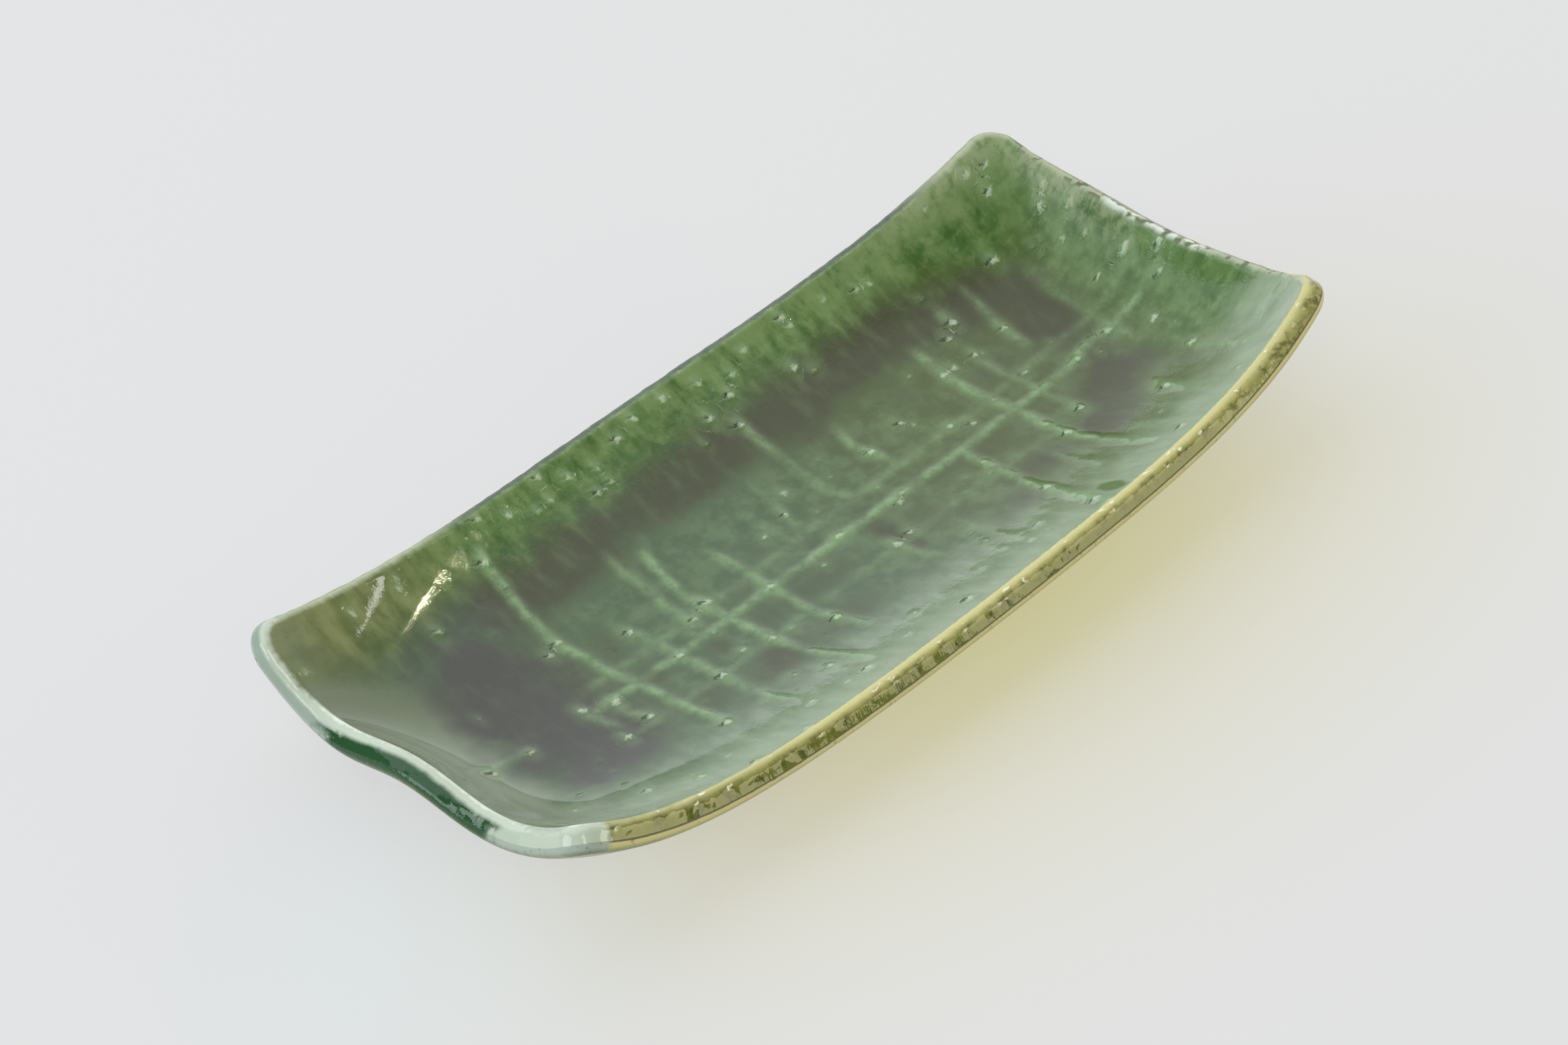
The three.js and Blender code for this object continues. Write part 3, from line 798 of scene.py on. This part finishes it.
# Where the glaze pooled brown over the floor: place, half length and half width in millimetres, and depth
POOLS = [
    (-96, 12, 24, 34, 1.0), (-90, -16, 18, 15, 0.9), (-56, 42, 30, 12, 1.0), (0, 43, 36, 11, 1.0),
    (34, 35, 12, 9, 0.6), (62, 42, 34, 11, 1.0), (98, 35, 20, 11, 0.9), (112, 16, 12, 16, 0.9),
    (-38, -27, 11, 8, 0.8), (-12, -28, 14, 8, 0.5), (19, -14, 4, 12, 0.8), (30, -15, 6, 10, 0.4),
    (65, -26, 9, 7, 0.7), (104, -17, 13, 9, 1.0), (90, -29, 12, 8, 0.9), (-60, -24, 7, 7, 0.6),
    (48, -34, 10, 7, 0.5), (-62, 12, 5, 12, 0.4), (-24, 2, 6, 6, 0.3), (48, -6, 8, 6, 0.4),
    (-62, -4, 5, 5, 0.5), (-8, -11, 18, 6, 0.5), (64, -9, 10, 5, 0.5), (-43, -9, 5, 5, 0.5),
    (108, -7, 8, 6, 0.6), (118, 24, 5, 9, 0.6), (88, 10, 10, 10, 0.4), (-26, -10, 5, 6, 0.4),
    (-8, 8, 7, 5, 0.3), (62, 22, 8, 8, 0.3), (120, -18, 6, 7, 0.5),
]


def pool_depth(plan):
    """How deep the glaze lies pooled at places in plan, from 0 to 1."""
    shallow = np.ones(len(plan))
    for x, y, half_length, half_width, depth in POOLS:
        aside = ((plan[:, 0] / MM - x) / half_length) ** 2 + ((plan[:, 1] / MM - y) / half_width) ** 2
        shallow *= 1 - depth * np.exp(-aside ** 1.5)
    return 1 - shallow


def rim_patches(place):
    """Patches of colour round the rim, which go on across the seam of the two glazes."""
    return place.noise(PATCH_SIZE, detail=3.0, roughness=0.6)


def left_band(across, patch):
    """Where the glaze ran thick and deep green over the left rim."""
    return abs(across - 0.06 + patch.centred(0.3)).rise(0.56, 0.44)


def rim_colour(place, lie):
    """The colour of the glaze round the rim: mint and deep green under a painted white highlight at the left
    end, cream over blotched olive in front, yellowed partly by painted warm light and dotted with painted
    glints, pale with painted highlight spots at the right end, and a painted dark shade at the far side."""
    along, across, down = lie.parts()
    patch = rim_patches(place)
    grain = place.noise(GRAIN_SIZE)
    shaken = down + patch.centred(0.3) + grain.centred(0.3)

    # At the left end, a painted white highlight along the upper arris, over mint
    left = blend(shaken.rise(0.1, 0.3), RIM_PAINTED_WHITE_HIGHLIGHT, RIM_MINT)
    lower = blend(across.rise(0.1, 0.4) * 0.8 + 0.2, RIM_MINT, RIM_GREY)
    lower = blend(left_band(across, patch), lower, RIM_DEEP)
    left = blend((down + patch.centred(0.2)).rise(0.42, 0.68), left, lower)

    # In front, the cream and olive are yellowed partly by painted warm light
    lower = (down + patch.centred(0.3)).rise(0.2, 0.75) * (along.rise(0.9, 0.5) * 0.45 + 0.55)
    front = blend(lower, RIM_CREAM, RIM_OLIVE)
    front = blend(along.rise(-0.35, -0.65) * down.rise(0.05, 0.4) * 0.5, front, RIM_OLIVE)
    blotch = patch.rise(0.44, 0.62) * grain.rise(0.34, 0.6) * down.rise(0.3, 0.6)
    front = blend(blotch * 0.65, front, RIM_BLOTCH)
    # Painted glints: small bright warm specks along the near rim
    painted_glints = place.stretched(0.5, 1.0, 1.0).noise(PAINTED_GLINT_SIZE, detail=1.0).rise(0.62, 0.67)
    painted_glints = painted_glints * down.rise(0.1, 0.2) * down.rise(0.75, 0.5) * patch.rise(0.45, 0.6)
    front = blend(painted_glints * 0.9, front, RIM_PAINTED_GLINT)

    # A painted dark shade along the middle of the far rim's upper arris
    in_shade = abs(along - 0.15).rise(0.55, 0.75).opposite() * across.rise(0.0, 0.5)
    in_shade = in_shade * shaken.rise(0.02, 0.2) * shaken.rise(0.6, 0.35)
    back = blend(shaken.rise(0.3, 0.7), RIM_PALE, RIM_OLIVE)
    back = blend(in_shade, back, RIM_FAR_PAINTED_SHADE)
    at_right = along.rise(0.9, 0.95)
    bead = place.noise(BEAD_SIZE, detail=1.0)
    pits = bead.rise(0.46, 0.38) * at_right * across.rise(0.95, 0.8)
    back = blend(pits * 0.8, back, RIM_BLOTCH)
    # Painted highlights: chalky white spots on the right rim's upper arris
    painted_spot_highlights = abs(across - 0.05).rise(0.36, 0.26) * at_right * bead.rise(0.47, 0.53)
    back = blend(painted_spot_highlights * down.rise(0.7, 0.4), back, RIM_PAINTED_SPOT_HIGHLIGHTS)

    at_left = along.rise(-0.925, -0.94)
    at_back = across.rise(0.5, 0.8).at_least(along.rise(0.96, 0.975) * across.rise(-0.9, -0.7))
    rim = blend(at_left, front, left)
    rim = blend(at_back * at_left.opposite(), rim, back)
    outline = down.rise(0.0, 0.02) * down.rise(0.09, 0.04) * grain.rise(0.4, 0.6)
    return blend(outline * at_left.opposite() * 0.6, rim, WALL_DEEP)


def face_glaze_material():
    material, tree, shader = new_material("copper_green_glaze", Specular_IOR_Level=GLAZE_SPECULAR)
    place = field(tree, "ShaderNodeTexCoord", "Object")
    plan = kept(tree, "plan", "Vector")
    lie = kept(tree, "lie", "Vector")
    ridge, furrow, pooled, burr = (kept(tree, name) for name in ("ridge", "furrow", "pooled", "burr"))
    along, across, down = lie.parts()
    cloud = plan.noise(CLOUD_SIZE, detail=3.0, roughness=0.6)
    mottle = plan.noise(MOTTLE_SIZE, detail=3.0, roughness=0.65)
    speckle = plan.noise(SPECKLE_SIZE, roughness=0.7)
    wander = plan.noise(WANDER_SIZE).centred(0.2)
    at_end = abs(along).rise(0.84, 0.97)
    comb = combed(plan, at_end, COMB_SIZE, COMB_STRETCH)
    on_wall = abs(across).rise(0.45, 0.85).at_least(at_end)

    # Over the floor, grey green that turns olive to the right, and brown where it pools
    colour = blend(along.rise(-0.1, 0.5), FLOOR_GREY_GREEN, FLOOR_OLIVE)
    colour = blend((cloud * 0.8 + mottle * 0.2).rise(0.40, 0.66) * 0.28, colour, THIN_GREEN)
    shaken = pooled + cloud.centred(1.5) + mottle.centred(0.5)
    pool = blend(along.rise(-0.45, -0.65), POOL_BROWN, POOL_MAUVE)
    colour = blend(shaken.rise(0.05, 0.95) * 0.9, colour, pool)
    colour = blend(comb.rise(0.45, 0.9) * (on_wall * 0.3 + 0.08), colour, THIN_GREEN)

    # Towards the left end, grey and then olive in the far corner
    left_share = (along * -1.0 + wander).rise(0.74, 0.9)
    left_end = blend((across + wander).rise(0.1, 0.6), LEFT_END_GREY, LEFT_END_FAR)
    colour = blend(left_share, colour, left_end)

    # Up the far side and the right end, a clear green with olive streaks
    far_share = (across + wander * 0.8 + comb.centred(0.1) + along.rise(0.55, 0.9) * 0.18).rise(0.64, 0.88)
    right_share = (along + wander * 0.6).rise(0.80, 0.92)
    bright = (comb * 0.3 + cloud * 0.45 + mottle * 0.25).rise(0.34, 0.64)
    green = blend(bright, WALL_DEEP, WALL_GREEN)
    top = across + along.rise(-0.3, 0.9) * 0.1 + comb.centred(0.45) + mottle.centred(0.3)
    top = top.rise(0.78, 1.04)
    green = blend((mottle.rise(0.45, 0.75) * 0.4).at_least(top * 0.65), green, WALL_OLIVE)
    left_olive = blend((comb * 0.5 + cloud * 0.5).rise(0.38, 0.62), LEFT_OLIVE_DEEP, LEFT_OLIVE)
    left_olive = blend(along.rise(-0.84, -0.96) * 0.5, left_olive, LEFT_END_GREY)
    green = blend(along.rise(-0.45, -0.75), green, left_olive)
    end_top = (along + comb.centred(0.1) + cloud.centred(0.2)).rise(0.88, 0.97)
    green = blend(end_top * 0.2, green, THIN_GREEN)
    colour = blend(far_share.at_least(right_share), colour, green)

    # Up the near side, and at the near right corner, thin pale glaze under a painted sheen, with one green
    # drop
    near_share = across * -1.0 + wander * 0.5 + comb.centred(0.12) + along.rise(-0.6, -0.85) * 0.12
    near_share = near_share.rise(0.45, 1.0)
    colour = blend(near_share * (comb.centred(0.4) + 1.0), colour, WALL_PALE_AND_PAINTED_SHEEN)
    from_drop = plan.vector("SUBTRACT", DROP_PLACE).stretched(1.0, 0.55).length()
    in_drop = (from_drop + mottle.centred(0.002)).rise(0.0032, 0.0018)
    colour = blend(in_drop * 0.85, colour, WALL_GREEN)

    # The lines are thin and pale, and each burr is a pale knob beside a dark slit
    colour = blend(furrow * 0.12, colour, POOL_BROWN)
    line = ridge * ((mottle * 0.7 + speckle * 0.3).rise(0.36, 0.6) * 0.55 + 0.45)
    colour = blend(line * 0.9, colour, THIN_GREEN)
    shake = plan.noise(SHAKE_SIZE, output="Color").vector("SUBTRACT", (0.5, 0.5, 0.5)).scaled(1.6)
    from_burr = kept(tree, "from_burr", "Vector").vector("ADD", shake)
    knob = from_burr.vector("ADD", (-0.2, 0.3, 0.0)).stretched(0.9, 1.3)
    knob = knob.length().bump(0.95) * burr
    slit = from_burr.vector("ADD", (0.7, -0.25, 0.0)).stretched(0.9, 2.6)
    slit = slit.length().bump(0.9) * burr.rise(0.5, 0.75)
    slit = slit * plan.noise(SLIT_SPREAD).rise(0.44, 0.56)
    halo = from_burr.stretched(0.9, 0.5).length().bump(1.6) * burr
    colour = blend(halo * 0.35, colour, THIN_GREEN)
    colour = blend(knob.rise(0.2, 0.9) * 0.65, colour, KNOB_PALE)
    colour = blend(slit.rise(0.3, 0.8) * 0.8, colour, PIT_DARK)
    colour = blend(speckle.rise(0.55, 0.8) * 0.22, colour, PIT_DARK)

    # It pales again towards the rim at the far right, and then turns into the rim's own colours
    edge = (mottle.rise(0.35, 0.6) * 0.5 + 0.1) * across.rise(0.0, 0.3)
    edge = edge * across.rise(0.86, 0.97).at_least(along.rise(0.93, 0.985)) * along.rise(0.5, 0.9)
    colour = blend(edge, colour, RIM_PALE)
    soft_turn = across.rise(0.5, 0.8).at_least(along.rise(0.96, 0.975)) * 0.3 + 0.08
    onto_rim = ((down + mottle.centred(soft_turn)) / soft_turn).rise(0.0, 1.0) * down.rise(0.0, 0.02)
    colour = blend(onto_rim, colour, rim_colour(place, lie))

    ripple = mottle * (on_wall * 0.3 + 0.15) + speckle * 0.15 + comb * 0.2
    ripple = ripple * (along.rise(-0.75, -0.4) * 0.8 + 0.2) + knob * 1.2 - slit * 2.0
    ripple = ripple + place.noise(GRAIN_SIZE) * down.rise(0.0, 0.2) * 0.35
    dress(shader, colour, cloud * 0.03 + 0.03, ripple, GLAZE_RIPPLE)
    return material


# The face's glaze runs down over the edge until it all but meets the back's
GLAZE_STOP = PLATE_THICKNESS - EDGE_ROUND
GLAZE_INNER = EDGE_ROUND - GLAZE_THICKNESS
SEAM_CLOSED = 0.94
RUN_OVER = GLAZE_STOP + SEAM_CLOSED * SKIN_GAP
face_section = arc(EDGE_ROUND, EDGE_ROUND, 90, 0, 6)
for share in (0.34, 0.67, 1.0):
    face_section.append([EDGE_ROUND, EDGE_ROUND + share * (RUN_OVER - EDGE_ROUND)])
last_outside = len(face_section) - 1
face_section.append([GLAZE_INNER, RUN_OVER])
face_section += arc(GLAZE_INNER, EDGE_ROUND, 0, 90, 3)
face_glaze = layer(
    "face_glaze",
    face_section,
    outside=(0, last_outside),
    cell=0.00072,
    corner_cells=8,
    line_steps=(1, 2),
    pressed=(True, True),
)
face_plan = np.empty(3 * len(face_glaze.data.vertices), np.float32)
face_glaze.data.attributes["plan"].data.foreach_get("vector", face_plan)
store(face_glaze, "pooled", pool_depth(face_plan.reshape(-1, 3)))
apply_tree(face_glaze, relief, {
    **pressed_lines,
    "Comb height": 0.00010,
    "Burr height": 0.0004,
    "Burr radius": 0.0014,
    "Burrs per square metre": 2400.0,
    "Rim lump height": 0.0006,
    "Run place": RUN_PLACE,
    "Seed": 7,
    "Material": face_glaze_material(),
})
finish_piece(face_glaze, ["glaze_face"])
for guide in (long_lines, cross_lines, burr_places):
    bpy.data.objects.remove(guide)


# Glaze on the back
# A thinner coat of the same green, which wraps the lower edge. It is wiped off round each foot pad, so that
# the pads don't stick to the kiln shelf.
FOOT_SEAT_RADIUS = 0.011
FOOT_WIPE = 0.0012
BACK_OLIVE = paint(112, 122, 62)
BACK_GREEN = paint(66, 94, 50)
# The glaze's pale lower edge with a painted highlight on it
BACK_PALE_AND_PAINTED_HIGHLIGHT = paint(208, 199, 134)
BACK_SHADE = paint(94, 98, 72)
BACK_MINT = paint(162, 176, 160)
BACK_CLOUD = 0.016
BACK_RIPPLE = 0.0002


def back_glaze_material():
    material, tree, shader = new_material("thin_green_glaze", Specular_IOR_Level=GLAZE_SPECULAR)
    place = field(tree, "ShaderNodeTexCoord", "Object")
    lie = kept(tree, "lie", "Vector")
    along, across, down = lie.parts()
    cloud = kept(tree, "plan", "Vector").noise(BACK_CLOUD, detail=4.0, roughness=0.6)
    patch = rim_patches(place)
    speckle = place.noise(GRAIN_SIZE)
    colour = blend(cloud.rise(0.32, 0.72) * 0.8, BACK_OLIVE, BACK_GREEN)
    # In front, the lower arris is the glaze's pale edge with a painted highlight, under a thin dark line
    front = blend((down + patch.centred(0.1)).rise(0.08, 0.16), BACK_SHADE, BACK_PALE_AND_PAINTED_HIGHLIGHT)
    left = blend(left_band(across, patch), BACK_MINT, RIM_DEEP)
    edge = blend(along.rise(-0.925, -0.945), front, left)
    colour = blend(down.rise(0.9, 0.25), colour, edge)
    colour = blend(speckle.rise(0.6, 0.75) * 0.5, colour, BACK_GREEN)
    dress(shader, colour, cloud * 0.1 + 0.12, speckle + cloud, BACK_RIPPLE)
    return material


def glaze_start(radius):
    """Angle at which an arris of this radius starts, right under the gap that parts the two glazes."""
    return -math.degrees(math.asin(SKIN_GAP / radius))


back_section = arc(GLAZE_INNER, GLAZE_STOP, -90, glaze_start(GLAZE_INNER), 4)
first_outside = len(back_section)
back_section += arc(EDGE_ROUND, GLAZE_STOP, glaze_start(EDGE_ROUND), -90, 6)
back_glaze = layer(
    "back_glaze",
    back_section,
    outside=(first_outside, len(back_section) - 1),
    cell=0.0015,
    corner_cells=4,
    line_steps=(2, 1),
    pressed=(False, False),
)
back_glaze.data.materials.append(back_glaze_material())


def ring_points(radius, sides):
    angles = 2 * math.pi * np.arange(sides) / sides
    return np.stack([radius * np.cos(angles), radius * np.sin(angles)], axis=-1)


def wipe_cutter(centre):
    """A plain post, from under the table to above the plate, that cuts the glaze away round one pad."""
    sides = 64
    bottom = -0.01
    top = 0.06
    post = ring_points(FOOT_SEAT_RADIUS + FOOT_WIPE, sides) + centre[:2]
    levels = [np.column_stack([post, np.full(sides, z)]) for z in (bottom, top)]
    around = [[k, (k + 1) % sides, sides + (k + 1) % sides, sides + k] for k in range(sides)]
    caps = [list(range(sides))[::-1], list(range(sides, 2 * sides))]
    return add_piece("wipe_cutter", np.concatenate(levels), around + caps)


cutters = [wipe_cutter(place) for place in foot_places]
for cutter in cutters:
    cut = back_glaze.modifiers.new("wipe", "BOOLEAN")
    cut.operation = "DIFFERENCE"
    cut.solver = "EXACT"
    cut.object = cutter
take_shape(back_glaze)
for cutter in cutters:
    bpy.data.objects.remove(cutter)
finish_piece(back_glaze, ["glaze_back"])


# Foot pads
# Four pads of the same clay, pinched to shape and luted under the slab before it dries, left bare of glaze.
# Each is flat below, where it was pressed on the board, and its seat follows the slab.
FOOT_BASE_RADIUS = 0.009
FOOT_EDGE_ROUND = 0.0014
PINCH_WIDTH = 0.009


def pinched_pad():
    """The tree that shapes one pad: a drum that flares up to a seat on the slab, uneven from the fingers."""
    tree, given = geometry_tree(
        "pinched_pad",
        Geometry=["Geometry"],
        Object=["Slab"],
        Vector=["Place"],
        Float=["Base radius", "Seat radius", "Edge round", "Seat gap", "Lump height", "Seed"],
        Material=["Material"],
    )
    drum = field(tree, "GeometryNodeMeshCylinder", "Mesh", {
        "Vertices": 56,
        "Side Segments": 14,
        "Fill Segments": 6,
        "Radius": 1.0,
        "Depth": 1.0,
    })
    share = own_place(tree).part("Z") + 0.5
    in_plan = own_place(tree).stretched(1.0, 1.0)
    flare = given["Base radius"] + (given["Seat radius"] - given["Base radius"]) * share ** 1.6
    rounding = given["Edge round"] * (share.rise(0.0, 0.16) - 1.0)
    flat = in_plan.scaled(flare + rounding)
    place = flat.vector("ADD", given["Place"].stretched(1.0, 1.0))
    rising = field(tree, "ShaderNodeCombineXYZ", "Vector", {"Z": share * 0.004 + given["Seed"]})
    lump = place.vector("ADD", rising).noise(PINCH_WIDTH).centred(given["Lump height"])
    lump = lump * in_plan.length().rise(0.7, 1.0)
    place = place.vector("ADD", flat.vector("NORMALIZE").scaled(lump))
    seat = field(tree, "GeometryNodeRaycast", "Hit Distance", {
        "Target Geometry": object_geometry(given["Slab"]),
        "Source Position": place,
        "Ray Direction": (0.0, 0.0, 1.0),
        "Ray Length": 0.1,
    }) - given["Seat gap"]
    stand = field(tree, "ShaderNodeCombineXYZ", "Vector", {"Z": seat * share})
    pad = moved(drum, Position=place.vector("ADD", stand))
    return end_tree(pad, given["Material"])


pad_tree = pinched_pad()
for number, (foot, place) in enumerate(zip(FEET, foot_places)):
    pad = add_piece("pad" + foot.removeprefix("foot"), [], [])
    apply_tree(pad, pad_tree, {
        "Slab": clay_slab,
        "Place": list(place),
        "Base radius": FOOT_BASE_RADIUS,
        "Seat radius": FOOT_SEAT_RADIUS,
        "Edge round": FOOT_EDGE_ROUND,
        "Seat gap": SKIN_GAP,
        "Lump height": 0.0009,
        "Seed": number * 0.05,
        "Material": bare_stoneware,
    })
    finish_piece(pad, [foot])


# Table top
# A plain pale sheet under the plate, wide enough to fill every view of it. To the camera and in reflections
# it shows partly its own colour, so that the plate's shadow on it stays light. In front of the plate that
# colour is a painted warm glow in its shadow, with a smaller own share there that deepens it, and at its left
# painted cool light that lifts the shadow.
TABLE_REACH = 6.0
TABLE_PALE = paint(222, 222, 224)
TABLE_UNDER_PAINTED_GLOW = paint(178, 190, 246)
TABLE_OWN = paint(227, 227, 227)
TABLE_PAINTED_GLOW = paint(242, 234, 166)
TABLE_PAINTED_COOL_LIGHT = paint(222, 228, 230)
PAINTED_GLOW_PLACE = (0.03, -0.07, 0.0)
PAINTED_GLOW_REACH = 0.065
PAINTED_COOL_PLACE = (-0.17, -0.02, 0.0)
PAINTED_COOL_REACH = 0.06
OWN_SHARE = 0.70
OWN_SHARE_IN_PAINTED_COOL = 0.15
OWN_SHARE_IN_PAINTED_GLOW = -0.10
corners = [(x * TABLE_REACH, y * TABLE_REACH, 0) for x, y in ((-1, -1), (1, -1), (1, 1), (-1, 1))]
table = add_piece("table_top", corners, [[0, 1, 2, 3]])


def table_material():
    material, tree, shader = new_material("table_pale", Roughness=0.9, Specular_IOR_Level=0.1)
    place = field(tree, "ShaderNodeTexCoord", "Object")
    rays = tree.nodes.new("ShaderNodeLightPath")
    seen = Field(tree, rays.outputs["Is Camera Ray"])
    for title in ("Is Glossy Ray", "Is Transmission Ray"):
        seen = seen.at_least(Field(tree, rays.outputs[title]))
    # A painted warm glow in the plate's shadow in front of it, kept neutral outside the shadow by a bluer
    # base
    from_painted_glow = place.vector("SUBTRACT", PAINTED_GLOW_PLACE).stretched(0.5, 1.0, 1.0)
    warm = from_painted_glow.length().bump(PAINTED_GLOW_REACH)
    # Painted cool light that lifts the plate's shadow at its left
    cool = place.vector("SUBTRACT", PAINTED_COOL_PLACE).length().bump(PAINTED_COOL_REACH)
    feed(shader.inputs["Base Color"], blend(warm * seen, TABLE_PALE, TABLE_UNDER_PAINTED_GLOW))
    own_colour = blend(warm, blend(cool, TABLE_OWN, TABLE_PAINTED_COOL_LIGHT), TABLE_PAINTED_GLOW)
    own = field(tree, "ShaderNodeEmission", "Emission", {"Color": own_colour, "Strength": 1.0})
    mix = add_node(tree, "ShaderNodeMixShader")
    # The own share is smaller in the painted warm glow, deepening the shadow, and larger in the painted cool
    # light
    feed(mix.inputs["Fac"], seen * (cool * OWN_SHARE_IN_PAINTED_COOL + warm * OWN_SHARE_IN_PAINTED_GLOW + OWN_SHARE))
    tree.links.new(shader.outputs["BSDF"], mix.inputs[1])
    tree.links.new(own.socket, mix.inputs[2])
    sink = next(node for node in tree.nodes if node.type == "OUTPUT_MATERIAL")
    tree.links.new(mix.outputs["Shader"], sink.inputs["Surface"])
    return material


table.data.materials.append(table_material())


# Light
# A soft box in front, a wide ceiling whose near edge fades in steps, a warm reflector at the camera's right
# and a cool one at its left, a small lamp and a window pane for the glints, and an even pale room.
def soft_panel(name, middle, width, height, radiance, colour, target=(0, 0, 0)):
    """A rectangular lamp in the middle place, facing the target, as bright as the radiance says."""
    light = bpy.data.lights.new(name, "AREA")
    light.shape = "RECTANGLE"
    light.size = width
    light.size_y = height
    light.energy = radiance * math.pi * width * height
    light.color = colour
    panel = bpy.data.objects.new(name, light)
    bpy.context.collection.objects.link(panel)
    away = unit(np.array(middle, float) - np.array(target, float))
    side = unit(np.cross([0, 1, 0] if abs(away[2]) > 0.99 else [0, 0, 1], away))
    turned = np.eye(4)
    turned[:3, :3] = np.column_stack([side, np.cross(away, side), away])
    turned[:3, 3] = middle
    panel.matrix_world = Matrix(turned)


def overhead(name, height, x_share, y_share, radiance, colour):
    """A level panel, whose edges are given as shares of its height over the table."""
    x_share, y_share = np.array(x_share), np.array(y_share)
    middle = np.array([x_share.mean(), y_share.mean(), 1.0]) * height
    below = middle - [0, 0, 1]
    width, depth = np.ptp(x_share) * height, np.ptp(y_share) * height
    soft_panel(name, middle, width, depth, radiance, colour, below)


overhead(
    "front_box",
    height=1.8,
    x_share=(-1.3, -0.5),
    y_share=(-1.2, -0.4),
    radiance=4.0,
    colour=(1.0, 0.98, 0.92),
)
ceiling = {"height": 1.7, "x_share": (-1.1, 8.0), "colour": (0.91, 0.96, 1.0)}
FADE_STEPS = 4
FADE_WIDTH = 0.06
FADE_LEVEL = 0.22
for step in range(FADE_STEPS):
    edge = (step - FADE_STEPS) * FADE_WIDTH
    overhead(
        f"ceiling_edge_{step}",
        y_share=(edge, edge + FADE_WIDTH),
        radiance=FADE_LEVEL * (step + 1),
        **ceiling,
    )
overhead("ceiling_panel", y_share=(0.0, 8.0), radiance=1.12, **ceiling)
for name, middle, width, height, radiance, colour in (
    ("warm_reflector", (1.3, -1.3, 0.5), 1.2, 0.7, 3.7, (1.0, 0.92, 0.60)),
    ("cool_reflector", (-1.6, 0.6, 0.6), 1.2, 0.8, 3.6, (0.88, 0.95, 1.0)),
    ("glint_lamp", (1.356, -0.37, 1.634), 0.011, 0.011, 1200.0, (1.0, 0.90, 0.62)),
):
    soft_panel(name, middle, width, height, radiance, colour)
overhead(
    "window_pane",
    height=1.7,
    x_share=(1.05, 1.15),
    y_share=(-0.51, -0.43),
    radiance=8.0,
    colour=(1.0, 1.0, 0.95),
)

ROOM_LEVEL = 0.23
world = bpy.data.worlds.new("room")
world.use_nodes = True
background = world.node_tree.nodes["Background"]
background.inputs["Color"].default_value = (1.0, 1.0, 1.0, 1.0)
background.inputs["Strength"].default_value = ROOM_LEVEL
bpy.context.scene.world = world
bpy.context.scene.view_settings.view_transform = "Standard"


# Camera
# A long lens from the near left, looking down on the plate as in the photograph. Its place, its turn and its
# focal length, in the photograph's pixels, come from a fit to the plate's outline.
PHOTO_WIDTH = 2353
FOCAL_PIXELS = 7500
SENSOR_WIDTH = 36.0
AZIMUTH = math.radians(-43.024)
ELEVATION = math.radians(39.522)
ROLL = math.radians(-5.023)
CAMERA_PLACE = (-0.7047, -0.7435, 0.8640)

back = np.array([
    math.sin(AZIMUTH) * math.cos(ELEVATION),
    -math.cos(AZIMUTH) * math.cos(ELEVATION),
    math.sin(ELEVATION),
])
level = np.array([math.cos(AZIMUTH), math.sin(AZIMUTH), 0.0])
upright = np.cross(back, level)
camera_data = bpy.data.cameras.new("camera")
camera_data.sensor_width = SENSOR_WIDTH
camera_data.lens = SENSOR_WIDTH * FOCAL_PIXELS / PHOTO_WIDTH
camera = bpy.data.objects.new("camera", camera_data)
bpy.context.collection.objects.link(camera)
pose = np.eye(4)
pose[:3, 0] = math.cos(ROLL) * level + math.sin(ROLL) * upright
pose[:3, 1] = math.cos(ROLL) * upright - math.sin(ROLL) * level
pose[:3, 2] = back
pose[:3, 3] = CAMERA_PLACE
camera.matrix_world = Matrix(pose)
bpy.context.scene.camera = camera
